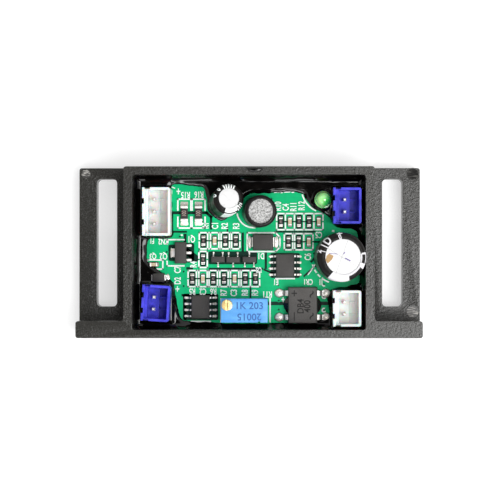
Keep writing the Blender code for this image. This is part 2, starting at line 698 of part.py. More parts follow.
def add_trimmer(surfaces, drills, footprints):
    """The multi-turn trimmer: housing, base with leads, adjusting screw with worm, and wheel."""
    x, y = on_board(TRIMMER_PLACE)
    wall, top = TRIMMER_WALL, TRIMMER_HEIGHT
    screw_x = -TRIMMER_LENGTH / 2 + SCREW_FROM_SIDES
    screw_y = TRIMMER_WIDTH / 2 - SCREW_FROM_SIDES
    neck = SCREW_NECK_DIAMETER / 2

    shell = bmesh.new()
    box(shell, (0, 0), (TRIMMER_LENGTH, TRIMMER_WIDTH), 0, top)
    housing = mesh_from(shell, "trimmer_housing")
    housing = add_object("trimmer_housing", housing, surfaces["trimmer"], (x, y, PART_BASE))
    hollow = bmesh.new()
    inside = (TRIMMER_LENGTH - 2 * wall, TRIMMER_WIDTH - 2 * wall)
    box(hollow, (x, y), inside, PART_BASE - CUT_PAST, PART_BASE + top - TRIMMER_TOP)
    rod(hollow, (x + screw_x, y + screw_y), neck + PRESS_GAP, PART_BASE, PART_BASE + top + CUT_PAST)
    combine(housing, "DIFFERENCE", helper_object("trimmer_hollow", hollow))

    plate = bmesh.new()
    size = (inside[0] - 2 * PRESS_GAP, inside[1] - 2 * PRESS_GAP)
    box(plate, (0, 0), size, 0, TRIMMER_BASE)
    leads = bmesh.new()
    for index in (-1, 0, 1):
        offset = index * TRIMMER_LEAD_PITCH
        square = (TRIMMER_LEAD_THICKNESS, TRIMMER_LEAD_THICKNESS)
        box(leads, (offset, 0), square, LEAD_BOTTOM - PART_BASE, TRIMMER_BASE / 2)
        lead_hole(drills, (x + offset, y), TRIMMER_LEAD_THICKNESS)
    base = joined_mesh("trimmer_base", plate, leads)
    add_object("trimmer_base", base, surfaces["trimmer_base"], (x, y, PART_BASE))

    # The screw hangs through the housing's top; its origin is on its axis, at the top face.
    head, worm, root = SCREW_HEAD_DIAMETER / 2, WORM_DIAMETER / 2, WORM_ROOT_DIAMETER / 2
    worm_top = -TRIMMER_TOP - PRESS_GAP
    worm_bottom = TRIMMER_BASE + PRESS_GAP - top
    shaft = bmesh.new()
    profile = [(0, worm_bottom), (root, worm_bottom), (root, worm_top), (neck, worm_top)]
    profile += [(neck, PRESS_GAP), (head, PRESS_GAP), (head, SCREW_HEAD_HEIGHT), (0, SCREW_HEAD_HEIGHT)]
    turned(shaft, profile, SCREW_SIDES)
    thread = bmesh.new()
    worm_thread(thread, root, worm, worm_bottom, worm_top)
    screw_mesh = joined_mesh("trimmer_screw", shaft, thread)
    place = (x + screw_x, y + screw_y, PART_BASE + top)
    screw = add_object("trimmer_screw", screw_mesh, surfaces["brass"], place)
    slot = bmesh.new()
    size = (SCREW_SLOT_WIDTH, 2 * SCREW_HEAD_DIAMETER)
    low = place[2] + SCREW_HEAD_HEIGHT - SCREW_SLOT_DEPTH
    box(slot, place[:2], size, low, place[2] + SCREW_HEAD_HEIGHT + CUT_PAST)
    combine(screw, "DIFFERENCE", helper_object("screw_slot", slot))

    # The wheel meets the worm at its rim, halfway down the worm; its origin is on its own axis.
    wheel = bmesh.new()
    rim, axle = WHEEL_DIAMETER / 2, WHEEL_AXLE_DIAMETER / 2
    outline = []
    valley = rim - WHEEL_TOOTH_DEPTH
    for tooth in range(WHEEL_TEETH):
        for share, radius in ((0.0, rim), (0.45, rim), (0.55, valley), (0.9, valley)):
            angle = 2 * math.pi * (tooth + share) / WHEEL_TEETH
            outline.append((radius * math.cos(angle), radius * math.sin(angle)))
    prism(wheel, outline, -WHEEL_THICKNESS / 2, WHEEL_THICKNESS / 2)
    axles = bmesh.new()
    near = inside[1] / 2 - PRESS_GAP - screw_y
    far = inside[1] / 2 - PRESS_GAP + screw_y
    rod(axles, (0, 0), axle, -near, far, AXLE_SIDES)
    mesh = joined_mesh("trimmer_wheel", wheel, axles)
    # The wheel was drawn flat, about Z: stand it up, with its axle along Y.
    mesh.transform(Matrix.Rotation(math.pi / 2, 4, "X"))
    wheel_x = screw_x + worm + PRESS_GAP + rim
    wheel_z = PART_BASE + top + (worm_top + worm_bottom) / 2
    add_object("trimmer_wheel", mesh, surfaces["wheel"], (x + wheel_x, y + screw_y, wheel_z))
    size = (TRIMMER_LENGTH + 2 * RESIN_GAP, TRIMMER_WIDTH + 2 * RESIN_GAP)
    box(footprints, (x, y), size, BOARD_TOP, RESIN_TOP + CUT_PAST)


def gull_leads(bm, package, places, sides=(-1, 1)):
    """Adds bent leads that leave the body's ends, drop to the board and run out along it."""
    half, reach = package["size"][0] / 2, package["reach"]
    thickness, width = package["lead"]
    out = reach - half
    for side in sides:
        path = [
            (side * (half - LEAD_INTO_BODY), package["size"][2] * LEAD_RISE_SHARE),
            (side * (half + out * LEAD_START_SHARE), package["size"][2] * LEAD_RISE_SHARE),
            (side * (reach - out * LEAD_FOOT_SHARE), thickness / 2),
            (side * reach, thickness / 2),
        ]
        if side < 0:
            path.reverse()
        for place in places:
            lead_strip(bm, path, thickness, place, width)


def package_mesh(name, package, places, far_places=None):
    """A moulded body with gull leads at both ends, with places of their own at +X where given."""
    size = package["size"]
    body = bmesh.new()
    box(body, (0, 0), size[:2], PART_LIFT, size[2])
    leads = bmesh.new()
    gull_leads(leads, package, places, (-1,))
    gull_leads(leads, package, places if far_places is None else far_places, (1,))
    return joined_mesh(name, body, leads)


def regulator_mesh(name):
    """A tabbed package: one wide tab at -X and three leads at +X, all flat on the board."""
    body = bmesh.new()
    box(body, (0, 0), REGULATOR_SIZE[:2], PART_LIFT, REGULATOR_SIZE[2])
    metal = bmesh.new()
    tab, lead = REGULATOR_TAB, REGULATOR_LEAD
    box(metal, (tab["middle"], 0), tab["size"], 0, tab["thickness"])
    for index in (-1, 0, 1):
        box(metal, (lead["middle"], index * lead["pitch"]), lead["size"], 0, tab["thickness"])
    return joined_mesh(name, body, metal)


def chip_mesh(name, length, width, height, cap):
    """A ceramic chip lying along Y, with metal caps that stand a little proud of it."""
    proud = CAP_STANDS_PROUD
    half = length / 2
    sections = [
        (-half, width / 2, 0, height),
        (-half + cap, width / 2, 0, height),
        (-half + cap, width / 2 - proud, proud, height - proud),
        (half - cap, width / 2 - proud, proud, height - proud),
        (half - cap, width / 2, 0, height),
        (half, width / 2, 0, height),
    ]
    bm = bmesh.new()
    rings = []
    for y, half_width, low, high in sections:
        corners = [(-half_width, low), (half_width, low), (half_width, high), (-half_width, high)]
        rings.append([bm.verts.new((x, y, z)) for x, z in corners])
    for first, second in zip(rings, rings[1:]):
        for index in range(4):
            following = (index + 1) % 4
            bm.faces.new((first[index], first[following], second[following], second[index]))
    bm.faces.new(rings[0])
    bm.faces.new(rings[-1])
    return mesh_from(bm, name)


def add_surface_parts(surfaces, footprints):
    """Everything soldered flat on the board. The resin keeps clear of each one."""

    def put(name, mesh, surface, place, size, degrees=0):
        x, y = on_board(place[:2])
        turn = math.radians(degrees)
        add_object(name, mesh, surfaces[surface], (x, y, PART_BASE), turn)
        room = (size[0] + 2 * RESIN_GAP, size[1] + 2 * RESIN_GAP)
        box(footprints, (x, y), room, BOARD_TOP, RESIN_TOP + CUT_PAST, turn)

    def span(package):
        return 2 * package["reach"], package["size"][1]

    half_pitch = BRIDGE_LEAD_PITCH / 2
    mesh = package_mesh("bridge_rectifier", BRIDGE, (-half_pitch, half_pitch))
    put("bridge_rectifier", mesh, "moulding", BRIDGE_PLACE, span(BRIDGE))

    mesh = package_mesh("so8", SO8, [(index - 1.5) * SO8_LEAD_PITCH for index in range(4)])
    for name, place in zip(("driver_chip", "control_chip"), SO8_PLACES):
        put(name, mesh, "moulding", place, span(SO8))

    mesh = package_mesh("sot23", SOT23, (-SOT23_LEAD_OFFSET, SOT23_LEAD_OFFSET), (0,))
    for index, place in enumerate(SOT23_PLACES):
        # Turned a quarter, the pair of leads points at +Y, or at -Y after another half turn.
        put(f"transistor_{index + 1}", mesh, "moulding", place, span(SOT23), place[2] + 90)

    metal_length = 2 * (REGULATOR_LEAD["middle"] + REGULATOR_LEAD["size"][0] / 2)
    mesh, size = regulator_mesh("voltage_regulator"), (metal_length, REGULATOR_SIZE[1])
    put("voltage_regulator", mesh, "moulding", REGULATOR_PLACE, size)

    for name, package, place in (
        ("power_diode", DIODE, POWER_DIODE_PLACE),
        ("reverse_diode", SMALL_DIODE, BURIED_DIODE_PLACE),
    ):
        put(name, package_mesh(name, package, (0,)), "moulding", place, span(package))

    def put_chips(name, shape, surface, places):
        length, width = shape[:2]
        mesh = chip_mesh(name, *shape)
        for index, place in enumerate(places):
            degrees = place[2] if len(place) > 2 else 0
            put(f"{name}_{index + 1}", mesh, surface, place, (width, length), degrees)

    resistors = [*RESISTOR_0603_PLACES, *map(beside_capacitor, RESISTORS_FROM_CAPACITOR)]
    capacitors = [*CAPACITOR_0603_PLACES, beside_capacitor(CAPACITOR_FROM_CAPACITOR)]
    capacitors.append(BURIED_CAPACITOR_PLACE)
    put_chips("sense_resistor", CHIP_1206, "resistor", RESISTOR_1206_PLACES)
    put_chips("chip_resistor", RESISTOR_0603, "resistor", resistors)
    put_chips("chip_capacitor", CAPACITOR_0603, "capacitor", capacitors)


def main():
    for existing in list(bpy.data.objects):
        bpy.data.objects.remove(existing)
    surfaces = {
        "case": material("case_plastic", (0.03, 0.03, 0.032), 0.55),
        "board": material("solder_mask", (0.0, 0.32, 0.16), 0.35),
        "resin": material("potting_resin", (0.004, 0.004, 0.005), 0.12),
        "white": material("white_socket", (0.8, 0.8, 0.76), 0.4),
        "blue": material("blue_socket", (0.04, 0.05, 0.45), 0.4),
        "tinned": material("tinned_pin", (0.75, 0.75, 0.75), 0.25, 1.0),
        "led": material("green_lens", (0.03, 0.45, 0.12), 0.15),
        "can": material("aluminium_can", (0.8, 0.8, 0.8), 0.3, 1.0),
        "sleeve": material("black_sleeve", (0.01, 0.01, 0.01), 0.35),
        "ferrite": material("ferrite", (0.09, 0.09, 0.095), 0.6),
        "copper": material("enamelled_copper", (0.6, 0.22, 0.08), 0.35, 1.0),
        "trimmer": material("trimmer_blue", (0.02, 0.22, 0.6), 0.4),
        "trimmer_base": material("trimmer_base", (0.03, 0.12, 0.3), 0.5),
        "brass": material("brass_screw", (0.7, 0.5, 0.2), 0.3, 1.0),
        "wheel": material("trimmer_wheel", (0.7, 0.7, 0.65), 0.5),
        "moulding": material("package_moulding", (0.015, 0.015, 0.015), 0.45),
        "resistor": material("chip_resistor", (0.02, 0.02, 0.02), 0.4),
        "capacitor": material("chip_capacitor", (0.45, 0.32, 0.2), 0.5),
    }
    drills, footprints = bmesh.new(), bmesh.new()
    case_object(surfaces["case"])
    add_sockets(surfaces, drills, footprints)
    add_led(surfaces["led"], drills, footprints)
    cutters = (drills, footprints)
    canned = (surfaces["can"], surfaces["sleeve"])
    wound = (surfaces["ferrite"], surfaces["sleeve"])
    add_round_part("small_capacitor", "small_capacitor_can", SMALL_CAPACITOR_PLACE, canned, *cutters)
    add_round_part("big_capacitor", "big_capacitor_can", big_capacitor_place(), canned, *cutters)
    stand = add_round_part("inductor", "inductor_core", INDUCTOR_PLACE, wound, *cutters)
    add_inductor_winding(stand, surfaces["copper"])
    add_trimmer(surfaces, drills, footprints)
    add_surface_parts(surfaces, footprints)
    drill_object = helper_object("lead_drills", drills)
    board_object(surfaces["board"], drill_object)
    resin_object(surfaces["resin"], drill_object, footprints)


main()
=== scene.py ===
import json
import math

import bmesh
import bpy
import numpy as np
from mathutils import Matrix, Vector, noise


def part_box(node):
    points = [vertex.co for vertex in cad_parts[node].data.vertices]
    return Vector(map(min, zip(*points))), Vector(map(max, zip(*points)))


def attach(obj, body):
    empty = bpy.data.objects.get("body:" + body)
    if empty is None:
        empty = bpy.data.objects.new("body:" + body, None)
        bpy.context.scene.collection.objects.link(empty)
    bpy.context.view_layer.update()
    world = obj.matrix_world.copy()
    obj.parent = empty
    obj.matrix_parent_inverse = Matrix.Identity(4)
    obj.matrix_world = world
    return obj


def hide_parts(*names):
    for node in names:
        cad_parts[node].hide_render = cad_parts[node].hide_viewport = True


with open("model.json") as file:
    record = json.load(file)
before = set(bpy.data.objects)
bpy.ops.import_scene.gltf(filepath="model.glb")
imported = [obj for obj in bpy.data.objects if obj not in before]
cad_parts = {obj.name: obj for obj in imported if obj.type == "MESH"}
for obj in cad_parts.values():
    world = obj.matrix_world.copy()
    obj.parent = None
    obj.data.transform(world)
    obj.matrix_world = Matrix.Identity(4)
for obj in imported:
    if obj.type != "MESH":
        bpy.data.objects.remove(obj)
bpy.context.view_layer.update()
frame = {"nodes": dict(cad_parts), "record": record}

MM = 0.001


def mm(*values):
    """Millimetres as metres."""
    return tuple(value * MM for value in values)


# Board furniture: thin layers on the board's top face.
MASK_LIFT = 0.012 * MM
PAD_LIFT = 0.03 * MM
INK_LIFT = 0.035 * MM
INK_THICKNESS = 0.03 * MM
INK_LINE = 0.3 * MM
THIN_LINE = 0.22 * MM
LABEL_HEIGHT = 1.85 * MM
LABEL_WEIGHT = 0.04 * MM
LABEL_NARROW = 0.66

# Resin surface.
RESIN_GRID = 0.2 * MM
RESIN_REACH_TO_WALL = 0.14 * MM
WALL_CLIMB = 1.25 * MM
WALL_CLIMB_REACH = 1.25 * MM
PART_CLIMB = 0.6 * MM
PART_CLIMB_REACH = 0.75 * MM
RESIN_LIP_REACH = 0.85 * MM
RESIN_UNDER_BOARD_TOP = 0.2 * MM

# Repeatable draws for small misplacements.
SEED = 11

# Sockets. The latch notches' distance from the middle and the housing's length go by its number of pins.
SOCKET_DEPTH = 5.75 * MM
SOCKET_WALL = 0.5 * MM
LATCH_WALL = 0.62 * MM
PIN_PITCH = 2.5 * MM
SOCKET_LENGTH = {2: 7.4 * MM, 3: 9.9 * MM}
NOTCH_OFFSET = {2: 1.6 * MM, 3: 2.15 * MM}

# Packages: how far their bodies stand off the board, the eight-lead chips' body and the lead pitches.
STAND_OFF = 0.1 * MM
CHIP_SIZE = mm(3.9, 4.9)
CHIP_PITCH = 1.27 * MM
REGULATOR_PITCH = 1.5 * MM

# Round parts: height and outside radius of each sleeve, and how far the can's top is below the sleeve's.
SMALL_HEIGHT, SMALL_RADIUS = 7.2 * MM, 3.15 * MM
BIG_HEIGHT, BIG_RADIUS = 12.45 * MM, 5 * MM
DRUM_HEIGHT, DRUM_RADIUS = 8 * MM, 3.3 * MM
CAN_SUNK = 0.25 * MM

# The worm's pitch suits the wheel's teeth.
WORM_PITCH = 0.5236 * MM
THREAD_STEPS = 16

# Merging distances and the angle that a bevel starts at.
WELD = 0.0005 * MM
TINY = 1e-7
BEVEL_FROM = math.radians(40)

# Stage.
FLOOR_HALF = 1.5
FLOOR_Z = -0.05 * MM
FLOOR_GLOW = 0.52
LENS, SENSOR = 150, 36
LIGHT_AIM = (0, 0, 0.005)
SKY_STOPS = ((0.0, 0.75), (0.5, 0.9), (0.88, 0.7), (0.965, 0.03))
WORLD_STRENGTH = 0.98
LIGHTS = (
    ("key_light", (0.17, -0.09, 0.42), (0.235, 0.30), 1.72),
    ("low_light", (0.0, -0.42, 0.30), (0.60, 0.06), 0.9),
)
CAMERA_PLACE = mm(5.65, -2.29, 438.5)
CAMERA_AIM = mm(0.22, 0.45, 13.5)


# ---------------------------------------------------------------- node writing


class Wire:
    """A socket of a node tree. Arithmetic on it adds Math nodes."""

    def __init__(self, tree, socket):
        self.tree = tree
        self.socket = socket

    def maths(self, operation, first, second):
        """The result of a Math node."""
        return self.tree.add("ShaderNodeMath", {"operation": operation}, {0: first, 1: second})

    def __add__(self, other):
        return self.maths("ADD", self, other)

    def __sub__(self, other):
        return self.maths("SUBTRACT", self, other)

    def __mul__(self, other):
        return self.maths("MULTIPLY", self, other)

    def __truediv__(self, other):
        return self.maths("DIVIDE", self, other)

    __radd__ = __add__
    __rmul__ = __mul__

    def also(self, output):
        """Another output of the same node."""
        return Wire(self.tree, self.socket.node.outputs[output])


class Tree:
    """A node tree that is written with one method."""

    def __init__(self, group):
        self.group = group

    def add(self, kind, settings=None, sockets=None, output=0):
        """Adds a node: its settings come first, then the values or wires of its sockets."""
        node = self.group.nodes.new(kind)
        for name, value in (settings or {}).items():
            if name == "stops":
                self.set_stops(node.color_ramp, value)
            else:
                setattr(node, name, value)
        for name, value in (sockets or {}).items():
            if isinstance(value, Wire):
                self.group.links.new(value.socket, node.inputs[name])
            else:
                node.inputs[name].default_value = value
        return Wire(self, node.outputs[output])

    @staticmethod
    def set_stops(ramp, stops):
        """Stops are pairs of a position and a grey level."""
        while len(ramp.elements) < len(stops):
            ramp.elements.new(0.5)
        for element, (position, level) in zip(ramp.elements, stops):
            element.position = position
            element.color = (level, level, level, 1)


class Finish(Tree):
    """A material drawn by nodes on Object coordinates."""

    def __init__(self, name, **fixed):
        self.material = bpy.data.materials.new(name)
        self.material.use_nodes = True
        super().__init__(self.material.node_tree)
        self.shader = self.group.nodes["Principled BSDF"]
        self.place = self.add("ShaderNodeTexCoord", output="Object")
        for name, value in fixed.items():
            self.shader.inputs[name.replace("_", " ")].default_value = value

    def stretched(self, scale, turn=0.0):
        """The Object coordinates, scaled along each axis."""
        return self.add(
            "ShaderNodeMapping",
            {"vector_type": "POINT"},
            {"Vector": self.place, "Scale": scale, "Rotation": (0, 0, turn)},
        )

    def noise(self, size, detail=2.0, where=None):
        """Cloudy noise whose features are about this size."""
        sockets = {"Vector": where or self.place, "Scale": 1 / size, "Detail": detail}
        return self.add("ShaderNodeTexNoise", None, sockets)

    def cells(self, size, where=None):
        """Distance to the nearest of many scattered points, about this far apart."""
        sockets = {"Vector": where or self.place, "Scale": 1 / size}
        return self.add("ShaderNodeTexVoronoi", {"feature": "F1"}, sockets)

    def ramp(self, wire, *stops):
        """A grey level that changes at the stops."""
        return self.add("ShaderNodeValToRGB", {"stops": stops}, {"Fac": wire})

    def waves(self, axis, scale):
        """Bands across an axis."""
        sockets = {"Vector": self.place, "Scale": scale}
        return self.add("ShaderNodeTexWave", {"bands_direction": axis}, sockets)

    def mix(self, share, first, second):
        """A colour between two: at share 0 the first, at 1 the second."""
        first, second = (c if isinstance(c, Wire) else (*c, 1.0) for c in (first, second))
        sockets = {0: share, 6: first, 7: second}
        return self.add("ShaderNodeMix", {"data_type": "RGBA"}, sockets, output=2)

    def relief(self, height, depth):
        """Raises and sinks the surface by up to this depth."""
        bump = self.add("ShaderNodeBump", None, {"Height": height, "Distance": depth})
        self.group.links.new(bump.socket, self.shader.inputs["Normal"])

    def give(self, **sockets):
        """Links wires to the shader, by the socket's name."""
        for name, wire in sockets.items():
            self.group.links.new(wire.socket, self.shader.inputs[name.replace("_", " ")])
        return self.material


class Pattern(Tree):
    """A Geometry Nodes tree with named inputs, ending in Realize Instances and Set Material."""

    def __init__(self, name, **inputs):
        super().__init__(bpy.data.node_groups.new(name, "GeometryNodeTree"))
        face = self.group.interface
        face.new_socket("Geometry", in_out="INPUT", socket_type="NodeSocketGeometry")
        for label, kind in inputs.items():
            face.new_socket(label, in_out="INPUT", socket_type="NodeSocket" + kind)
        face.new_socket("Material", in_out="INPUT", socket_type="NodeSocketMaterial")
        face.new_socket("Geometry", in_out="OUTPUT", socket_type="NodeSocketGeometry")
        self.source = self.group.nodes.new("NodeGroupInput")

    def given(self, label):
        """One of the tree's inputs."""
        return Wire(self, self.source.outputs[label])

    def end(self, geometry):
        """Makes the geometry real, gives it the material and ends the tree with it."""
        real = self.add("GeometryNodeRealizeInstances", None, {"Geometry": geometry})
        sockets = {"Geometry": real, "Material": self.given("Material")}
        painted = self.add("GeometryNodeSetMaterial", None, sockets)
        sink = self.group.nodes.new("NodeGroupOutput")
        self.group.links.new(painted.socket, sink.inputs["Geometry"])
        return self

    def made_from(self, mesh, **values):
        """The plain mesh that the tree makes from a mesh."""
        holder = linked(bpy.data.objects.new("pattern_base", mesh))
        step = holder.modifiers.new("pattern", "NODES")
        step.node_group = self.group
        sockets = self.group.interface.items_tree
        for label, value in values.items():
            found = next(s for s in sockets if s.name == label and s.in_out == "INPUT")
            step[found.identifier] = value
        return plain_mesh(holder)


# ---------------------------------------------------------------- mesh helpers


def linked(obj):
    """The object, put in the scene."""
    bpy.context.scene.collection.objects.link(obj)
    return obj


def plain_mesh(holder):
    """The evaluated mesh of an object, which is then removed."""
    graph = bpy.context.evaluated_depsgraph_get()
    mesh = bpy.data.meshes.new_from_object(holder.evaluated_get(graph))
    bpy.data.objects.remove(holder)
    return mesh


def mesh_of(bm, name="made"):
    """The mesh of a bmesh, its faces pointing out."""
    bmesh.ops.recalc_face_normals(bm, faces=bm.faces)
    mesh = bpy.data.meshes.new(name)
    bm.to_mesh(mesh)
    bm.free()
    return mesh


def joined(meshes):
    """One bmesh from several meshes."""
    bm = bmesh.new()
    for mesh in meshes:
        bm.from_mesh(mesh)
    return bm


def piece(name, mesh, material, body="module", replaces=(), bevel=0.0, smooth=35, steps=2):
    """Puts a finished mesh in the scene as a piece that rides on a body."""
    made = linked(bpy.data.objects.new(name, mesh))
    if material is not None:
        mesh.materials.clear()
        mesh.materials.append(material)
    mesh.shade_smooth()
    mesh.set_sharp_from_angle(angle=math.radians(smooth))
    if bevel:
        step = made.modifiers.new("edge", "BEVEL")
        step.width = bevel
        step.segments = steps
        step.limit_method = "ANGLE"
        step.angle_limit = BEVEL_FROM
        step.harden_normals = True
    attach(made, body)
    if replaces:
        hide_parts(*replaces)
    return made


def box_of(node):
    """A CAD node's lowest and highest corners and its middle."""
    low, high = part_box(node)
    return low, high, (low + high) / 2


def middle(node):
    """The middle of a CAD node's box."""
    return box_of(node)[2]


def span(node):
    """The size of a CAD node's box."""
    low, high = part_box(node)
    return high - low


def welded_copy(node):
    """A CAD node's mesh with its doubles merged and its flat faces whole."""
    bm = bmesh.new()
    bm.from_mesh(frame["nodes"][node].data)
    bmesh.ops.remove_doubles(bm, verts=bm.verts, dist=0.002 * MM)
    flat = math.radians(1.0)
    bmesh.ops.dissolve_limit(bm, angle_limit=flat, verts=bm.verts, edges=bm.edges)
    return bm


def block(bm, centre, size, bottom, top, turn=0.0, draft=0.0):
    """Adds an upright block; draft is how much narrower its top is."""
    made = bmesh.ops.create_cube(bm, size=1.0)["verts"]
    spin = Matrix.Rotation(turn, 3, "Z")
    for vert in made:
        narrow = draft if vert.co.z > 0 else 0.0
        x, y = vert.co.x * (size[0] - narrow), vert.co.y * (size[1] - narrow)
        flat = spin @ Vector((x, y, 0))
        z = top if vert.co.z > 0 else bottom
        vert.co = Vector((centre[0] + flat.x, centre[1] + flat.y, z))
    return made


def upright_edges(bm):
    """The edges of a bmesh of blocks that stand upright."""
    return [e for e in bm.edges if abs(e.verts[0].co.z - e.verts[1].co.z) > TINY]


def ease(bm, width, edges=None, segments=2, profile=0.5):
    """Rounds edges: all of them unless some are given."""
    geom = edges or list(bm.edges)
    bmesh.ops.bevel(bm, geom=geom, offset=width, segments=segments, affect="EDGES", profile=profile)


def loft(bm, rings):
    """Faces from each ring of vertices to the next."""
    for first, second in zip(rings, rings[1:]):
        for i in range(len(first)):
            bm.faces.new((first[i - 1], first[i], second[i], second[i - 1]))


def lofted(bm, rings):
    """The closed mesh of rings of vertices, flat at both ends."""
    loft(bm, rings)
    bm.faces.new(rings[0])
    bm.faces.new(rings[-1])
    return mesh_of(bm)


def fillet(points, radius, steps=4):
    """A profile of radius and height whose corners off the axis are rounded."""
    made = []
    for index, point in enumerate(points):
        here = Vector(point[:2])
        r = point[2] if len(point) > 2 else radius
        before, after = Vector(points[index - 1][:2]), Vector(points[(index + 1) % len(points)][:2])
        back, ahead = (before - here).normalized(), (after - here).normalized()
        if r == 0 or here.x < 1e-9 or back.angle(ahead) > math.radians(172):
            made.append(tuple(here))
            continue
        cut = r / math.tan(back.angle(ahead) / 2)
        start, end = here + back * cut, here + ahead * cut
        for step in range(steps + 1):
            t = step / steps
            made.append(tuple(start * (1 - t) ** 2 + here * 2 * t * (1 - t) + end * t * t))
    return made


def turned(profile, sides=64, place=Matrix()):
    """The solid that a closed profile of radius and height sweeps about its own axis."""
    bm = bmesh.new()
    verts = [bm.verts.new((radius, 0, height)) for radius, height in profile]
    edges = [bm.edges.new((verts[i - 1], verts[i])) for i in range(len(verts))]
    on_axis = [e for e in edges if all(abs(v.co.x) < 1e-9 for v in e.verts)]
    swept = [e for e in edges if e not in on_axis]
    bmesh.ops.spin(
        bm,
        geom=verts + swept,
        cent=(0, 0, 0),
        axis=(0, 0, 1),
        angle=2 * math.pi,
        steps=sides,
        use_merge=True,
    )
    for edge in on_axis:
        bm.edges.remove(edge)
    bmesh.ops.remove_doubles(bm, verts=bm.verts, dist=WELD)
    bmesh.ops.transform(bm, matrix=place, verts=bm.verts)
    return mesh_of(bm)


def cut(mesh, cutter, operation="DIFFERENCE"):
    """A mesh with another taken out of it."""
    holder = linked(bpy.data.objects.new("cut_base", mesh))
    tool = linked(bpy.data.objects.new("cut_tool", cutter))
    step = holder.modifiers.new("cut", "BOOLEAN")
    step.operation = operation
    step.solver = "EXACT"
    step.use_self = True
    step.object = tool
    made = plain_mesh(holder)
    bpy.data.objects.remove(tool)
    return made


def lettering(words, height, thickness, place, weight=LABEL_WEIGHT, narrow=LABEL_NARROW):
    """Raised narrow lettering as a mesh, centred on a place."""
    curve = bpy.data.curves.new("lettering", "FONT")
    curve.body = words
    curve.size = height
    curve.offset = weight
    curve.align_x = "CENTER"
    curve.align_y = "CENTER"
    curve.extrude = thickness / 2
    curve.resolution_u = 3
    mesh = plain_mesh(linked(bpy.data.objects.new("lettering", curve)))
    mesh.transform(place @ Matrix.Diagonal((narrow, 1, 1, 1)))
    return mesh


def welded(meshes):
    """One mesh from several, its doubles merged so that it is closed."""
    bm = joined(meshes)
    bmesh.ops.remove_doubles(bm, verts=bm.verts, dist=WELD)
    return mesh_of(bm)


def flat_place(x, y, z, degrees=0.0):
    """A place turned about Z."""
    return Matrix.Translation((x, y, z)) @ Matrix.Rotation(math.radians(degrees), 4, "Z")


# ---------------------------------------------------------------- repeating patterns


def strokes_pattern():
    """Flat strips of one width along the edges of a mesh."""
    tree = Pattern("strokes", Width="Float", Thickness="Float")
    line = tree.add("GeometryNodeMeshToCurve", None, {"Mesh": tree.given("Geometry")})
    upright = tree.add("GeometryNodeSetCurveNormal", None, {"Curve": line})
    upright.socket.node.mode = "Z_UP"
    section = tree.add(
        "GeometryNodeCurvePrimitiveQuadrilateral",
        {"mode": "RECTANGLE"},
        {"Width": tree.given("Width"), "Height": tree.given("Thickness")},
    )
    sockets = {"Curve": upright, "Profile Curve": section, "Fill Caps": True}
    return tree.end(tree.add("GeometryNodeCurveToMesh", None, sockets))


def copies_pattern():
    """Copies of a prototype on the points of a mesh, turned by each point's own turn and a draw."""
    tree = Pattern("copies", Prototype="Object", Jitter="Float")
    shape = tree.add("GeometryNodeObjectInfo", None, {"Object": tree.given("Prototype")}, "Geometry")
    turn = tree.add("GeometryNodeInputNamedAttribute", {"data_type": "FLOAT"}, {"Name": "turn"})
    size = tree.add(
        "GeometryNodeInputNamedAttribute", {"data_type": "FLOAT_VECTOR"}, {"Name": "stretch"}
    )
    jitter = tree.given("Jitter")
    draw = tree.add(
        "FunctionNodeRandomValue", {"data_type": "FLOAT"}, {2: jitter * -1, 3: jitter, "Seed": SEED}, 1
    )
    angles = tree.add("ShaderNodeCombineXYZ", None, {"Z": turn + draw})
    rotation = tree.add("FunctionNodeEulerToRotation", None, {"Euler": angles})
    sockets = {
        "Points": tree.given("Geometry"),
        "Instance": shape,
        "Rotation": rotation,
        "Scale": size,
    }
    return tree.end(tree.add("GeometryNodeInstanceOnPoints", None, sockets))


def thread_pattern():
    """A ridge wound round the Z axis, as on a worm."""
    tree = Pattern("thread", Radius="Float", Pitch="Float", Turns="Float", Ridge="Float")
    coil = tree.add(
        "GeometryNodeCurveSpiral",
        None,
        {
            "Resolution": THREAD_STEPS,
            "Rotations": tree.given("Turns"),
            "Start Radius": tree.given("Radius"),
            "End Radius": tree.given("Radius"),
            "Height": tree.given("Turns") * tree.given("Pitch"),
        },
    )
    section = tree.add(
        "GeometryNodeCurvePrimitiveCircle", None, {"Resolution": 6, "Radius": tree.given("Ridge")}
    )
    sockets = {"Curve": coil, "Profile Curve": section, "Fill Caps": True}
    return tree.end(tree.add("GeometryNodeCurveToMesh", None, sockets))


STROKES = strokes_pattern()
COPIES = copies_pattern()
THREAD = thread_pattern()


def strokes(lines, width, thickness, z, material):
    """Strips along straight lines (x0, y0, x1, y1), each half a width longer at both ends."""
    verts, edges = [], []
    for x0, y0, x1, y1 in lines:
        run = Vector((x1 - x0, y1 - y0)).normalized() * width / 2
        edges.append((len(verts), len(verts) + 1))
        verts += [(x0 - run.x, y0 - run.y, z), (x1 + run.x, y1 + run.y, z)]
    return stroked(verts, edges, width, thickness, material)


def bent_stroke(points, width, thickness, z, material):
    """One strip along a bent line."""
    verts = [(x, y, z) for x, y in points]
    return stroked(verts, [(i, i + 1) for i in range(len(verts) - 1)], width, thickness, material)


def stroked(verts, edges, width, thickness, material):
    """Strips along the edges of a mesh of lines."""
    base = bpy.data.meshes.new("lines")
    base.from_pydata(verts, edges, [])
    return STROKES.made_from(base, Width=width, Thickness=thickness, Material=material)


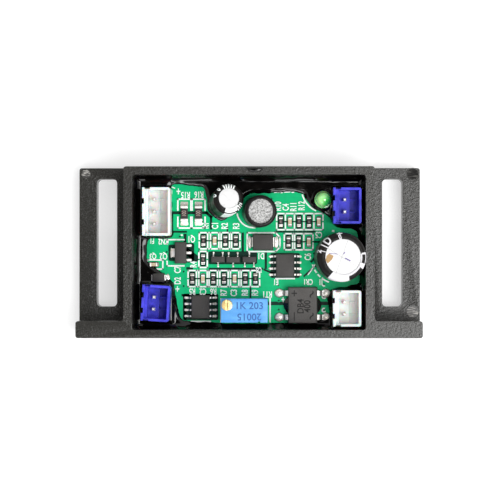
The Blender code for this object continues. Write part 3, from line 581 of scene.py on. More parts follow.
def copies(prototype, places, material, jitter=0.0):
    """Copies of a mesh: each place is x, y, z, a turn in degrees and three scales."""
    base = bpy.data.meshes.new("points")
    base.from_pydata([place[:3] for place in places], [], [])
    turn = base.attributes.new("turn", "FLOAT", "POINT")
    turn.data.foreach_set("value", [math.radians(place[3]) for place in places])
    size = base.attributes.new("stretch", "FLOAT_VECTOR", "POINT")
    size.data.foreach_set("vector", [value for place in places for value in place[4]])
    source = linked(bpy.data.objects.new("prototype", prototype))
    made = COPIES.made_from(base, Prototype=source, Jitter=jitter, Material=material)
    bpy.data.objects.remove(source)
    return made


def arc(centre, radius, start, end, steps=14):
    """Points of an arc, in degrees."""
    angles = [math.radians(start + (end - start) * i / steps) for i in range(steps + 1)]
    return [(centre[0] + radius * math.cos(a), centre[1] + radius * math.sin(a)) for a in angles]


# ---------------------------------------------------------------- materials


def case_plastic():
    """Black moulded plastic: fine spark grain, pale rubbed specks and hairline scuffs."""
    f = Finish("case_plastic", Specular_IOR_Level=0.55)
    grain = f.noise(0.2 * MM, 3)
    pits = f.noise(0.5 * MM, 2)
    cloud = f.noise(5 * MM, 3)
    specks = f.ramp(f.noise(0.32 * MM, 2), (0.67, 0.0), (0.74, 1.0))
    scuffs = f.ramp(f.noise(1.0 * MM, 3, f.stretched((0.25, 3.0, 1.0), 0.4)), (0.68, 0.0), (0.73, 1.0))
    wear = (specks * 0.5 + scuffs * 0.35) * cloud
    colour = f.mix(grain, (0.009, 0.0085, 0.007), (0.031, 0.030, 0.026))
    colour = f.mix(wear, colour, (0.16, 0.155, 0.145))
    f.relief(grain * 1.2 + pits * 1.9 + specks * 0.5, 0.03 * MM)
    return f.give(Base_Color=colour, Roughness=0.2 + grain * 0.14 - wear * 0.05)


def polished_mark(name, wear, gloss):
    """The smoother plastic under an ejector pin, with fine scratches."""
    f = Finish(name, Specular_IOR_Level=gloss)
    scratch = f.noise(0.5 * MM, 4, f.stretched((0.4, 3.0, 1.0), 0.7))
    lines = f.ramp(scratch, (0.5, 0.0), (0.62, 1.0))
    pale = (0.3 * wear, 0.29 * wear, 0.27 * wear)
    colour = f.mix(lines * 0.9, (0.02 * wear, 0.019 * wear, 0.018 * wear), pale)
    f.relief(lines, 0.02 * MM)
    return f.give(Base_Color=colour, Roughness=0.34 + lines * 0.2)


def solder_mask():
    """Green mask over copper: cloudy, with the weave of the glass cloth just showing."""
    f = Finish("solder_mask", Specular_IOR_Level=0.12)
    cloud = f.noise(3.5 * MM, 2)
    fine = f.noise(0.25 * MM, 2)
    weave = (f.waves("X", 320.0) + f.waves("Y", 320.0)) * 0.5
    colour = f.mix(cloud, (0.0006, 0.40, 0.145), (0.0015, 0.60, 0.225))
    colour = f.mix(weave * 0.1, colour, (0.0, 0.25, 0.10))
    f.relief(weave * 0.4 + fine * 0.5, 0.012 * MM)
    return f.give(Base_Color=colour, Roughness=0.3 + fine * 0.2)


def mottled(name, deep, pale, size, low, spread, depth=0.0, gloss=0.5, detail=3):
    """A surface whose colour, relief and roughness follow one noise; size and depth are in millimetres."""
    f = Finish(name, Specular_IOR_Level=gloss)
    cloud = f.noise(size * MM, detail)
    if depth:
        f.relief(cloud, depth * MM)
    return f.give(Base_Color=f.mix(cloud, deep, pale), Roughness=low + cloud * spread)


def legend_ink():
    """White printing ink: matt, thin in places."""
    f = Finish("legend_ink")
    thin = f.noise(0.16 * MM, 3)
    colour = f.mix(f.ramp(thin, (0.3, 0.0), (0.55, 1.0)), (0.72, 0.86, 0.79), (0.96, 0.97, 0.96))
    f.relief(thin, 0.01 * MM)
    return f.give(Base_Color=colour, Roughness=0.5 + thin * 0.25)


def tinned(name, bright, low, size, depth, steep_shade=0.85):
    """Tin or solder: metal with a faint crystal pattern and flux stains, with painted shade darkening its
    steep sides.
    """
    f = Finish(name)
    crystal = f.cells(size)
    stain = f.noise(size * 2.5, 3)
    facing = f.add("ShaderNodeTexCoord", output="Normal")
    up = f.add("ShaderNodeSeparateXYZ", None, {"Vector": facing}, "Z")
    # Painted shade: faces that turn away from straight up get darker, toward near black.
    sides = f.ramp(up + stain * 0.2, (0.72, 1.0), (0.98, 0.0))
    colour = f.mix(f.ramp(stain, (0.4, 0.0), (0.75, 1.0)), bright, (0.72, 0.64, 0.53))
    colour = f.mix(sides * steep_shade, colour, (0.045, 0.042, 0.038))
    f.relief(crystal + stain * 0.5, depth)
    return f.give(Base_Color=colour, Roughness=low + stain * 0.22, Metallic=0.3 + stain * 0.25)


def resin():
    """Black potting resin: mirror smooth, with slow ripples and a little dust."""
    f = Finish("potting_resin", Specular_IOR_Level=0.5)
    ripple = f.noise(4 * MM, 2)
    dust = f.ramp(f.cells(1.3 * MM), (0.03, 1.0), (0.06, 0.0))
    film = f.ramp(f.noise(2.2 * MM, 4), (0.5, 0.0), (0.8, 1.0))
    colour = f.mix(film * 0.5, (0.0022, 0.0018, 0.0017), (0.012, 0.008, 0.006))
    colour = f.mix(dust * 0.5, colour, (0.2, 0.19, 0.17))
    f.relief(ripple + dust * 0.05, 0.06 * MM)
    return f.give(Base_Color=colour, Roughness=0.07 + film * 0.1 + dust * 0.3)


def nylon(name, deep, pale, glow, depth):
    """Moulded nylon: slightly see-through, with flow marks and a soft sheen."""
    f = Finish(name, Subsurface_Weight=glow, Subsurface_Scale=depth, Specular_IOR_Level=0.3)
    flow = f.noise(1.6 * MM, 3, f.stretched((1.0, 1.0, 0.35)))
    grain = f.noise(0.12 * MM, 2)
    colour = f.mix(f.ramp(flow, (0.3, 0.0), (0.7, 1.0)), deep, pale)
    f.relief(grain * 0.7 + flow, 0.008 * MM)
    return f.give(Base_Color=colour, Roughness=0.3 + grain * 0.2)


def aluminium_top():
    """Etched aluminium: pale, with fine grain and a few rubbed streaks."""
    f = Finish("aluminium_can")
    fine = f.noise(0.1 * MM, 2)
    streak = f.noise(0.6 * MM, 3, f.stretched((0.3, 2.2, 1.0), 0.9))
    smear = f.ramp(streak, (0.55, 0.0), (0.75, 1.0))
    colour = f.mix(smear * 0.3, (0.68, 0.68, 0.68), (0.50, 0.50, 0.52))
    f.relief(fine + smear * 0.4, 0.006 * MM)
    return f.give(Base_Color=colour, Roughness=0.42 + fine * 0.2, Metallic=0.2 + smear * 0.15)


def sleeve_film():
    """Shrunk sleeve: thin dark film with upright shrink wrinkles."""
    f = Finish("black_sleeve", Specular_IOR_Level=0.16)
    wrinkle = f.noise(0.5 * MM, 3, f.stretched((1.0, 1.0, 0.22)))
    cloud = f.noise(1.4 * MM, 2)
    colour = f.mix(cloud, (0.003, 0.003, 0.003), (0.012, 0.010, 0.009))
    f.relief(wrinkle, 0.05 * MM)
    return f.give(Base_Color=colour, Roughness=0.24 + wrinkle * 0.2)


def ferrite():
    """Pressed ferrite: pale grey grit with dark grains."""
    f = Finish("ferrite")
    grit = f.noise(0.32 * MM, 4)
    grains = f.ramp(f.cells(0.3 * MM), (0.25, 0.0), (0.6, 1.0))
    colour = f.mix(f.ramp(grit, (0.35, 0.0), (0.65, 1.0)), (0.13, 0.13, 0.125), (0.66, 0.66, 0.65))
    colour = f.mix(grains * 0.3, colour, (0.2, 0.2, 0.2))
    f.relief(grit + grains * 0.4, 0.03 * MM)
    return f.give(Base_Color=colour, Roughness=0.5 + grit * 0.2, Metallic=0.15 + grit * 0.1)


def copper_wire():
    """Enamelled wire laid in turns."""
    f = Finish("enamelled_copper", Coat_Weight=0.6)
    turns = f.waves("Z", 1600.0)
    tint = f.noise(1.2 * MM, 2)
    colour = f.mix(tint, (0.42, 0.13, 0.05), (0.62, 0.24, 0.09))
    f.relief(turns, 0.08 * MM)
    return f.give(Base_Color=colour, Roughness=0.25 + tint * 0.15, Metallic=0.85 + tint * 0.1)


def trimmer_blue():
    """Sky-blue moulding with a soft flow pattern."""
    f = Finish("trimmer_blue", Subsurface_Weight=0.05, Subsurface_Scale=0.4 * MM)
    flow = f.noise(2.4 * MM, 3, f.stretched((0.5, 1.4, 1.0)))
    grain = f.noise(0.14 * MM, 2)
    colour = f.mix(f.ramp(flow, (0.3, 0.0), (0.7, 1.0)), (0.045, 0.24, 0.60), (0.11, 0.36, 0.72))
    f.relief(grain + flow * 0.3, 0.012 * MM)
    return f.give(Base_Color=colour, Roughness=0.36 + grain * 0.2)


def brass():
    """Brass with a turned face and a driver's scratches."""
    f = Finish("brass_screw")
    scratch = f.noise(0.35 * MM, 4, f.stretched((3.0, 0.3, 1.0), 0.5))
    tint = f.noise(0.8 * MM, 2)
    colour = f.mix(tint, (0.78, 0.50, 0.17), (0.95, 0.78, 0.42))
    f.relief(scratch, 0.012 * MM)
    return f.give(Base_Color=colour, Roughness=0.22 + scratch * 0.25, Metallic=0.85 + tint * 0.15)


def moulding(name, gain):
    """Epoxy of the chip packages: matt grey with fine sparkle."""
    f = Finish(name, Specular_IOR_Level=0.3)
    grit = f.noise(0.09 * MM, 3)
    cloud = f.noise(1.5 * MM, 2)
    pale = (0.085 * gain, 0.080 * gain, 0.075 * gain)
    colour = f.mix(grit, (0.032, 0.030, 0.028), pale)
    colour = f.mix(cloud * 0.3, colour, (0.03, 0.027, 0.026))
    f.relief(grit, 0.014 * MM)
    return f.give(Base_Color=colour, Roughness=0.48 + grit * 0.2)


def chip_ceramic(name, deep, pale, low):
    """Ceramic of the small chips."""
    f = Finish(name, Specular_IOR_Level=0.25)
    grit = f.noise(0.12 * MM, 3)
    cloud = f.noise(0.9 * MM, 2)
    colour = f.mix(grit * 0.6 + cloud * 0.4, deep, pale)
    f.relief(grit, 0.01 * MM)
    return f.give(Base_Color=colour, Roughness=low + grit * 0.2)


def green_lens():
    """Tinted lamp body with painted shading: pale green on one side, dark green on the other."""
    f = Finish(
        "green_lens", Coat_Weight=1.0, Coat_Roughness=0.03, Subsurface_Weight=0.4, Subsurface_Scale=0.8 * MM
    )
    centre = middle("status_led")
    moved = f.add(
        "ShaderNodeVectorMath", {"operation": "SUBTRACT"}, {0: f.place, 1: tuple(centre)}
    )
    across = f.add("ShaderNodeSeparateXYZ", None, {"Vector": moved})
    # Painted shading: pale green toward -X and +Y, dark green toward +X and -Y.
    side = (across.also("X") * 0.8 - across.also("Y") * 0.4) / (1.5 * MM) * 0.5 + 0.5
    swirl = f.noise(0.9 * MM, 2)
    share = f.ramp(side * 0.8 + swirl * 0.3, (0.45, 0.0), (0.8, 1.0))
    colour = f.mix(share, (0.44, 0.95, 0.36), (0.03, 0.46, 0.06))
    f.relief(swirl, 0.01 * MM)
    return f.give(Base_Color=colour, Roughness=0.1 + swirl * 0.08)


def pale_floor():
    """White stage that glows a little, like a light table."""
    f = Finish("pale_floor", Emission_Color=(1, 1, 1, 1), Emission_Strength=FLOOR_GLOW)
    cloud = f.noise(60 * MM, 2)
    colour = f.mix(cloud, (0.52, 0.52, 0.52), (0.55, 0.55, 0.55))
    return f.give(Base_Color=colour, Roughness=0.6 + cloud * 0.1)


CASE = case_plastic()
WORN = polished_mark("worn_mark", wear=1.8, gloss=0.6)
POLISHED = polished_mark("polished_mark", wear=0.25, gloss=0.12)
MASK = solder_mask()
# Mask with no copper under it.
GAP = mottled("mask_gap", (0.0003, 0.009, 0.006), (0.0008, 0.045, 0.026), 0.7, 0.28, 0.2, 0.01, 0.12)
INK = legend_ink()
# Tinned parts: the last number is how strong the painted shade on steep faces is (0.85 when not given).
LEAD = tinned("tinned_lead", (0.92, 0.92, 0.91), 0.3, 0.25 * MM, 0.01 * MM)
PIN = tinned("tinned_pin", (0.92, 0.92, 0.91), 0.3, 0.25 * MM, 0.01 * MM, 0.1)
SOLDER = tinned("solder", (0.95, 0.92, 0.86), 0.18, 0.3 * MM, 0.02 * MM, 0.75)
RESIN = resin()
WHITE = nylon("white_nylon", (0.78, 0.75, 0.725), (0.86, 0.83, 0.81), 0.6, 2.0 * MM)
BLUE = nylon("blue_nylon", (0.024, 0.026, 0.42), (0.065, 0.062, 0.70), 0.15, 0.6 * MM)
ALUMINIUM = aluminium_top()
SLEEVE = sleeve_film()
SLEEVE_INK = chip_ceramic("sleeve_ink", (0.58, 0.57, 0.60), (0.72, 0.71, 0.73), 0.35)
# Painted shade for the score grooves on the big capacitor's top.
SCORE_SHADE = chip_ceramic("score_line", (0.40, 0.40, 0.40), (0.62, 0.62, 0.61), 0.4)
STAIN = chip_ceramic("flux_stain", (0.22, 0.11, 0.03), (0.55, 0.36, 0.16), 0.25)
DASH_INK = chip_ceramic("dash_ink", (0.05, 0.02, 0.16), (0.12, 0.06, 0.34), 0.4)
FERRITE = ferrite()
TRIMMER = trimmer_blue()
# Painted shade on the floor of the pressed digits: a darker blue slab standing in for the shade in the
# recesses.
DIGIT_SHADE = mottled("engraving", (0.015, 0.075, 0.27), (0.03, 0.13, 0.38), 0.15, 0.5, 0.2, detail=2)
BRASS = brass()
MOULDING = moulding("package_moulding", gain=1.0)
PALE_MOULDING = moulding("bridge_moulding", gain=1.8)
# Painted shade: a near-black slab sunk in the bridge's pressed marks.
PRESSED_SHADE = chip_ceramic("pressed_marks", (0.006, 0.006, 0.006), (0.03, 0.028, 0.026), 0.5)
CODE_INK = chip_ceramic("code_ink", (0.30, 0.20, 0.17), (0.55, 0.46, 0.42), 0.4)
RESISTOR = chip_ceramic("chip_resistor", (0.012, 0.011, 0.011), (0.05, 0.045, 0.045), 0.3)
CAPACITOR = chip_ceramic("chip_capacitor", (0.42, 0.30, 0.17), (0.78, 0.66, 0.47), 0.4)
LAMP_GREEN = green_lens()

BOARD_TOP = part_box("circuit_board")[1].z
MASK_Z = BOARD_TOP + MASK_LIFT
PAD_Z = BOARD_TOP + PAD_LIFT
INK_Z = BOARD_TOP + INK_LIFT + INK_THICKNESS / 2


# ---------------------------------------------------------------- case


def case_shell():
    """The moulding with its edges eased."""
    mesh = mesh_of(welded_copy("case"), "case_shell")
    piece("case_shell", mesh, CASE, replaces=["case"], bevel=0.16 * MM)


def ejector_marks():
    """Shallow rings that the ejector pins leave on the ears."""
    low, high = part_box("case")
    spots = (
        (low.x + 1.35 * MM, high.y - 1.25 * MM, 1.05 * MM),
        (high.x - 1.5 * MM, high.y - 1.25 * MM, 1.3 * MM),
        (high.x - 1.5 * MM, low.y + 5.3 * MM, 1.35 * MM),
    )
    rims, discs = [], []
    for x, y, radius in spots:
        lip, lift = 0.12 * MM, 0.05 * MM
        rim = [(radius - lip, 0), (radius, 0), (radius - lip * 0.3, lift), (radius - lip, lift)]
        disc = [(0, 0), (radius - lip, 0), (radius - lip, 0.012 * MM), (0, 0.012 * MM)]
        place = Matrix.Translation((x, y, ear_height()))
        rims.append(turned(rim, 48, place))
        discs.append(turned(disc, 48, place))
    piece("ejector_rims", mesh_of(joined(rims)), CASE)
    piece("dark_ejector_disc", discs.pop(1), POLISHED)
    piece("worn_ejector_discs", mesh_of(joined(discs)), WORN)


def ear_height():
    """Height of the ears' top face, from the record's mounts."""
    found = next(m for m in frame["record"]["mounts"] if m["name"] == "left_ear_top")
    return found["pos_m"][2]


def rim_drip():
    """A drop of resin that ran over the rim."""
    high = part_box("case")[1]
    centre = Vector((1.25 * MM, high.y - 0.62 * MM, high.z))
    bm = bmesh.new()
    bmesh.ops.create_uvsphere(bm, u_segments=40, v_segments=20, radius=1.0)
    for vert in bm.verts:
        x, y, z = vert.co
        wobble = 1 + 0.12 * noise.noise(Vector((x * 1.7, y * 1.7, 3.1)))
        bend = 0.3 * (x * x - 0.5) if y < 0 else 0.0
        shape = Vector((x * 1.7 * wobble, y * 0.47 * wobble + bend, z * 0.42))
        vert.co = shape * MM + centre
    piece("rim_drip", mesh_of(bm), RESIN, smooth=180)


# ---------------------------------------------------------------- resin

# The edge of the resin over the board, in millimetres from the board's middle, anticlockwise.
RESIN_EDGE = (
    (22.4, 3.3), (21.4, 4.6), (18.4, 5.1), (16.8, 6.9), (14.9, 8.3), (13.0, 9.3), (11.6, 11.3),
    (10.2, 12.3), (2.0, 12.2), (-0.6, 11.6), (-5.2, 6.6), (-8.4, 8.2), (-8.9, 10.2), (-9.6, 13.2),
    (-11.5, 13.7), (-16.0, 14.0), (-16.2, 11.0), (-16.1, 3.3), (-20.8, 2.7), (-21.3, 0.0),
    (-20.9, -2.0), (-18.0, -4.2), (-16.0, -6.2), (-15.2, -9.4), (-14.0, -13.6), (-12.6, -14.3),
    (-6.6, -14.4), (-4.0, -14.7), (4.0, -14.7), (7.3, -14.5), (10.4, -14.6), (13.8, -13.6),
    (16.4, -12.8), (16.6, -8.0), (22.4, -6.3), (22.5, -3.0),
)


def smooth_loop(points, steps=6):
    """A closed smooth line through the points, in metres."""
    made = []
    count = len(points)
    for index in range(count):
        a, b, c, d = (np.array(points[(index + k - 1) % count]) for k in range(4))
        for step in range(steps):
            t = step / steps
            rise = 0.5 * (2 * b + (c - a) * t + (2 * a - 5 * b + 4 * c - d) * t**2)
            made.append(rise + 0.5 * (3 * b - a - 3 * c + d) * t**3)
    return np.array(made) * MM


def distance_outside(loop, x, y):
    """Distance to a closed line: positive outside it and negative inside."""
    nearest = np.full(x.shape, 1.0)
    inside = np.zeros(x.shape, bool)
    for (x0, y0), (x1, y1) in zip(loop, np.roll(loop, -1, axis=0)):
        dx, dy = x1 - x0, y1 - y0
        along = np.clip(((x - x0) * dx + (y - y0) * dy) / (dx * dx + dy * dy), 0, 1)
        nearest = np.minimum(nearest, np.hypot(x - x0 - along * dx, y - y0 - along * dy))
        crossing = (y0 > y) != (y1 > y)
        with np.errstate(divide="ignore", invalid="ignore"):
            inside ^= crossing & (x < (x1 - x0) * (y - y0) / (y1 - y0) + x0)
    return np.where(inside, -nearest, nearest)


def slow_noise(x, y, size, seed):
    """Smooth noise from -1 to 1 on a grid of places."""
    flat = [noise.noise(Vector((a / size, b / size, seed))) for a, b in zip(x.flat, y.flat)]
    return np.array(flat).reshape(x.shape)


def climb(distance, height, reach):
    """How far the resin climbs a wall at this distance from it."""
    return height * np.clip(1 - distance / reach, 0, 1) ** 2


def distance_to_box(node, x, y):
    """Distance in plan to a CAD node's box, and 0 inside it."""
    low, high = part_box(node)
    dx = np.maximum(np.maximum(low.x - x, x - high.x), 0)
    dy = np.maximum(np.maximum(low.y - y, y - high.y), 0)
    return np.hypot(dx, dy)


def resin_height(x, y, half_x, half_y):
    """The resin's surface: level, climbing the walls and parts, and rounded off over the board."""
    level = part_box("potting_resin")[1].z
    edge = distance_outside(smooth_loop(RESIN_EDGE), x, y) + 0.25 * MM * slow_noise(x, y, 1.7 * MM, 5.0)
    lip = np.sqrt(np.clip(edge / RESIN_LIP_REACH, 0, 1))
    over = BOARD_TOP - RESIN_UNDER_BOARD_TOP + (level - BOARD_TOP + RESIN_UNDER_BOARD_TOP) * lip
    wall = np.minimum(half_x - np.abs(x), half_y - np.abs(y))
    patchy = 0.85 + 0.3 * slow_noise(x, y, 6 * MM, 2.0) + 0.12 * slow_noise(x, y, 1.2 * MM, 9.0)
    over = over + climb(wall, WALL_CLIMB, WALL_CLIMB_REACH) * patchy
    for node in ("three_pin_socket", "right_blue_socket", "left_blue_socket", "right_white_socket"):
        over = over + climb(distance_to_box(node, x, y), PART_CLIMB, PART_CLIMB_REACH) * (edge > 0)
    centre = middle("status_led")
    lamp = np.hypot(x - centre.x, y - centre.y) - 1.8 * MM
    over = over + climb(np.abs(lamp), PART_CLIMB, PART_CLIMB_REACH) * (edge > 0)
    return over + 0.03 * MM * slow_noise(x, y, 3 * MM, 7.0) * (edge > 0)


def potting():
    """The resin as one closed body whose top follows resin_height."""
    low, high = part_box("potting_resin")
    half_x, half_y = high.x + RESIN_REACH_TO_WALL, high.y + RESIN_REACH_TO_WALL
    columns, rows = round(2 * half_x / RESIN_GRID), round(2 * half_y / RESIN_GRID)
    x, y = np.meshgrid(np.linspace(-half_x, half_x, columns), np.linspace(-half_y, half_y, rows))
    z = resin_height(x, y, half_x, half_y)
    top = np.stack([x, y, z], -1).reshape(-1, 3)
    index = np.arange(rows * columns).reshape(rows, columns)
    quads = np.stack([index[:-1, :-1], index[:-1, 1:], index[1:, 1:], index[1:, :-1]], -1).reshape(-1, 4)
    ring = np.concatenate([index[0, :-1], index[:-1, -1], index[-1, :0:-1], index[:0:-1, 0]])
    skirt = top[ring].copy()
    skirt[:, 2] = low.z
    below = np.arange(len(ring)) + len(top)
    sides = np.stack([ring, below, np.roll(below, -1), np.roll(ring, -1)], -1)
    faces = quads.tolist() + sides.tolist() + [below[::-1].tolist()]
    mesh = bpy.data.meshes.new("potting")
    mesh.from_pydata(np.concatenate([top, skirt]).tolist(), [], faces)
    piece("potting", mesh, RESIN, replaces=["potting_resin"], smooth=60)


# ---------------------------------------------------------------- board

CHIP_RESISTORS = [f"chip_resistor_{i}" for i in range(1, 15)]
CHIP_CAPACITORS = [f"chip_capacitor_{i}" for i in range(1, 8)]
SENSE_RESISTORS = ["sense_resistor_1", "sense_resistor_2"]
SO8_CHIPS = ["driver_chip", "control_chip"]
TRANSISTORS = ["transistor_1", "transistor_2", "transistor_3"]


def rows_of(nodes):
    """Chips grouped by the line that they stand in, each group sorted by X."""
    groups = {}
    for node in nodes:
        groups.setdefault(round(middle(node).y / MM, 1), []).append(middle(node))
    return [sorted(group, key=lambda c: c.x) for group in groups.values()]


# Gaps in the copper (both ends and the width) and plated holes, in millimetres from the board's middle.
GAP_LINES = (
    (-15.9, 8.25, -8.9, 8.25, 0.62), (-8.9, 8.25, -8.0, 7.4, 0.62), (-8.0, 7.4, -8.0, 5.0, 0.5),
    (3.4, 1.0, 3.4, -3.2, 0.5), (-13.4, 3.6, -13.4, 1.5, 0.6), (-13.0, 0.2, -11.2, -1.2, 1.4),
    (-16.0, 4.3, -13.2, 4.3, 0.4), (3.8, -10.6, 8.2, -10.6, 0.75), (14.2, -10.6, 17.0, -10.6, 0.75),
    (-1.4, 3.9, -1.4, 0.4, 0.5), (12.9, -1.9, 15.0, 0.4, 0.45), (11.4, -4.9, 13.9, -2.6, 0.4),
    (-8.2, -3.4, 2.6, -3.4, 0.45), (3.1, -3.6, 7.4, -5.4, 0.4), (-13.9, -8.9, -7.0, -8.9, 0.5),
    (5.4, 4.3, 13.6, 4.3, 0.35), (13.4, 2.2, 15.6, 2.2, 0.4), (-13.4, -9.6, -13.4, -13.9, 0.5),
    (-12.9, -3.3, -12.0, -3.3, 0.5), (-4.6, 3.9, -4.6, 5.2, 0.3), (0.2, -7.4, 0.2, -9.3, 0.35),
)
VIAS = (
    (-17.2, 0.1), (-17.2, -2.0), (-14.5, 3.3), (-13.7, -4.0), (-13.7, -7.0), (6.0, -6.8),
    (6.1, -11.9), (6.1, -10.0), (15.5, -6.6), (15.5, -9.2), (15.5, -12.0), (13.4, -0.2), (-9.8, 6.4),
    (-7.1, 7.3), (4.6, 11.1),
)


def dark_pours():
    """Strips of the board with no copper under the mask."""
    parts = []
    for x0, y0, x1, y1, width in GAP_LINES:
        parts.append(strokes([mm(x0, y0, x1, y1)], width * MM, 2 * MASK_LIFT, BOARD_TOP, GAP))
    parts.append(patch(middle("control_chip"), mm(7.4, 5.5)))
    parts.append(patch(middle("driver_chip"), mm(6.2, 5.2)))
    for node in CHIP_RESISTORS:
        parts.append(patch(middle(node), mm(1.3, 3.0)))
    for node in CHIP_CAPACITORS:
        wide = span(node).x > span(node).y
        parts.append(patch(middle(node), mm(2.2, 1.2) if wide else mm(1.1, 2.3)))
    for row in rows_of(CHIP_RESISTORS + CHIP_CAPACITORS):
        for a, b in zip(row, row[1:]):
            if b.x - a.x < 3 * MM:
                parts.append(strokes([(a.x, a.y, b.x, b.y)], 0.26 * MM, 2 * MASK_LIFT, BOARD_TOP, GAP))
    low, high, c = box_of("voltage_regulator")
    parts.append(patch((high.x - 0.45 * MM, c.y), mm(2.3, 4.1)))
    parts.append(patch((low.x + 0.35 * MM, c.y), mm(1.9, 3.4)))
    c = middle("transistor_2")
    parts.append(patch((c.x - 0.1 * MM, c.y + 0.4 * MM), mm(10.2, 2.7)))
    piece("copper_gaps", mesh_of(joined(parts)), GAP)


def patch(centre, size):
    """A thin rounded patch on the board."""
    bm = bmesh.new()
    block(bm, centre, size, BOARD_TOP - MASK_LIFT, MASK_Z)
    ease(bm, 0.4 * MM, upright_edges(bm), 3)
    return mesh_of(bm)


def dome_mesh():
    """A blob of solder one unit across, flat underneath."""
    bm = bmesh.new()
    bmesh.ops.create_uvsphere(bm, u_segments=14, v_segments=8, radius=0.5)
    for vert in bm.verts:
        squared = 0.86 + 0.14 * (abs(vert.co.x * vert.co.y) * 4)
        vert.co.x *= 1 / squared
        vert.co.y *= 1 / squared
        vert.co.z = max(vert.co.z, -0.06)
    return mesh_of(bm)


def fillet_mesh():
    """A pad with its solder: one unit square, rising along +Y to a chip's end."""
    bm = bmesh.new()
    rings = []
    slope = ((-0.5, 0.02, 0.86), (-0.42, 0.1, 0.98), (-0.1, 0.2, 1.0), (0.2, 0.55, 0.98), (0.5, 1.0, 0.9))
    for y, height, width in slope:
        ring = [(-width / 2, 0), (-width / 2, height * 0.5), (-width / 3, height), (width / 3, height)]
        ring += [(width / 2, height * 0.5), (width / 2, 0)]
        rings.append([bm.verts.new((x, y, z)) for x, z in ring])
    return lofted(bm, rings)


def chip_ends(node):
    """A chip's two ends along its longer side: middle x, y, outward turn in degrees and width."""
    centre, size = middle(node), span(node)
    along_y = size.y > size.x
    length, width = max(size.x, size.y), min(size.x, size.y)
    found = []
    for side in (-1, 1):
        shift = side * length / 2
        place = (centre.x, centre.y + shift) if along_y else (centre.x + shift, centre.y)
        turn = (0 if side < 0 else 180) if along_y else (-90 if side < 0 else 90)
        found.append((*place, turn, width))
    return found


def chip_solder():
    """Pads and solder at the ends of every small chip."""
    places = []
    for node in CHIP_RESISTORS + CHIP_CAPACITORS + SENSE_RESISTORS:
        low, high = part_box(node)
        height = (high.z - low.z) * 0.8
        for x, y, turn, width in chip_ends(node):
            long = 0.36 * MM if width < 1 * MM else 0.95 * MM
            away = Matrix.Rotation(math.radians(turn), 3, "Z") @ Vector((0, -long / 2 + 0.08 * MM, 0))
            size = (width, long, height)
            places.append((x + away.x, y + away.y, PAD_Z - 0.03 * MM, turn, size))
    made = copies(fillet_mesh(), places, SOLDER, 0.03)
    piece("chip_solder", made, SOLDER, smooth=50)


def via_rings():
    """Plated holes: a raised ring in the mask's green round a dark disc painted as the shade in the bore."""
    bore, ring, lift = 0.2 * MM, 0.36 * MM, 0.05 * MM
    profile = [(bore, 0), (ring, 0), (ring, lift * 0.6), (ring - 0.05 * MM, lift), (bore, lift)]
    places = [(x * MM, y * MM, BOARD_TOP, 0, (1, 1, 1)) for x, y in VIAS]
    made = copies(turned(profile, 20), places, MASK)
    piece("via_rings", made, MASK, smooth=50)
    # Painted shade: a dark disc in place of each open bore, standing in for the shade down the hole.
    bore_shade = turned([(0, 0), (bore, 0), (bore, 2 * MASK_LIFT), (0, 2 * MASK_LIFT)], 16)
    piece("via_bores", copies(bore_shade, places, GAP), GAP)


# ---------------------------------------------------------------- legend


def cell_frames():
    """Printed cells round the small chips: each divider is broken where the copper gap runs."""
    half_x, half_y, gap = 0.87 * MM, 1.68 * MM, 0.3 * MM
    lines = []
    upright = [n for n in CHIP_RESISTORS + CHIP_CAPACITORS if span(n).y > span(n).x]
    for row in rows_of(upright):
        y = row[0].y
        runs = [[row[0]]]
        for spot in row[1:]:
            if spot.x - runs[-1][-1].x > 3 * MM:
                runs.append([])
            runs[-1].append(spot)
        for run in runs:
            walls = [run[0].x - half_x, run[-1].x + half_x]
            for a, b in zip(run, run[1:]):
                close = b.x - a.x < 2 * half_x + 1.3 * INK_LINE
                walls += [(a.x + b.x) / 2] if close else [a.x + half_x, b.x - half_x]
            for side in (-1, 1):
                lines.append((min(walls), y + side * half_y, max(walls), y + side * half_y))
            for x in walls:
                lines.append((x, y + gap, x, y + half_y))
                lines.append((x, y - gap, x, y - half_y))
    return lines


def bracket_frames():
    """Brackets round the two large chip resistors, open at their middle."""
    half_x, half_y, gap = 1.35 * MM, 3.0 * MM, 0.75 * MM
    lines = []
    for node in SENSE_RESISTORS:
        c = middle(node)
        for side in (-1, 1):
            y = c.y + side * half_y
            lines.append((c.x - half_x, y, c.x + half_x, y))
            for end in (-1, 1):
                x = c.x + end * half_x
                lines.append((x, c.y + side * gap, x, y))
    return lines


# Printed lines in millimetres from a part's middle: those on both of its sides, and the others.
TWIN_LINES = (
    ("voltage_regulator", -2.9, 2.72, 0.6, 2.72), ("voltage_regulator", -2.9, 2.72, -2.9, 1.82),
    ("power_diode", -3.3, 1.95, 2.6, 1.95), ("power_diode", 2.6, 1.95, 3.5, 1.05),
    ("chip_capacitor_7", -1.2, 0.95, 1.9, 0.95), ("chip_capacitor_7", -1.2, 0.95, -1.9, 0),
)
SINGLE_LINES = (
    ("power_diode", -3.3, -1.95, -3.3, 1.95), ("power_diode", 3.5, -1.05, 3.5, 1.05),
    ("chip_capacitor_7", 1.9, -0.95, 1.9, 0.95), ("driver_chip", -1.9, -2.72, 1.9, -2.72),
)


def part_frames():
    """Printed lines round the regulator, the diode, the chips and the trimmer."""
    twins = [(node, x0, y0 * side, x1, y1 * side) for side in (-1, 1) for node, x0, y0, x1, y1 in TWIN_LINES]
    lines = []
    for node, x0, y0, x1, y1 in twins + list(SINGLE_LINES):
        c = middle(node)
        lines.append((c.x + x0 * MM, c.y + y0 * MM, c.x + x1 * MM, c.y + y1 * MM))
    low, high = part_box("trimmer_housing")
    chip = middle("control_chip")
    far, near = high.x + 0.45 * MM, low.x - 0.25 * MM
    lines.append((chip.x - 1.9 * MM, low.y - 0.05 * MM, chip.x + 2.0 * MM, low.y - 0.05 * MM))
    lines.append((far, low.y - 0.1 * MM, far, high.y + 0.1 * MM))
    lines.append((near, low.y - 0.1 * MM, near, high.y - 0.2 * MM))
    return lines


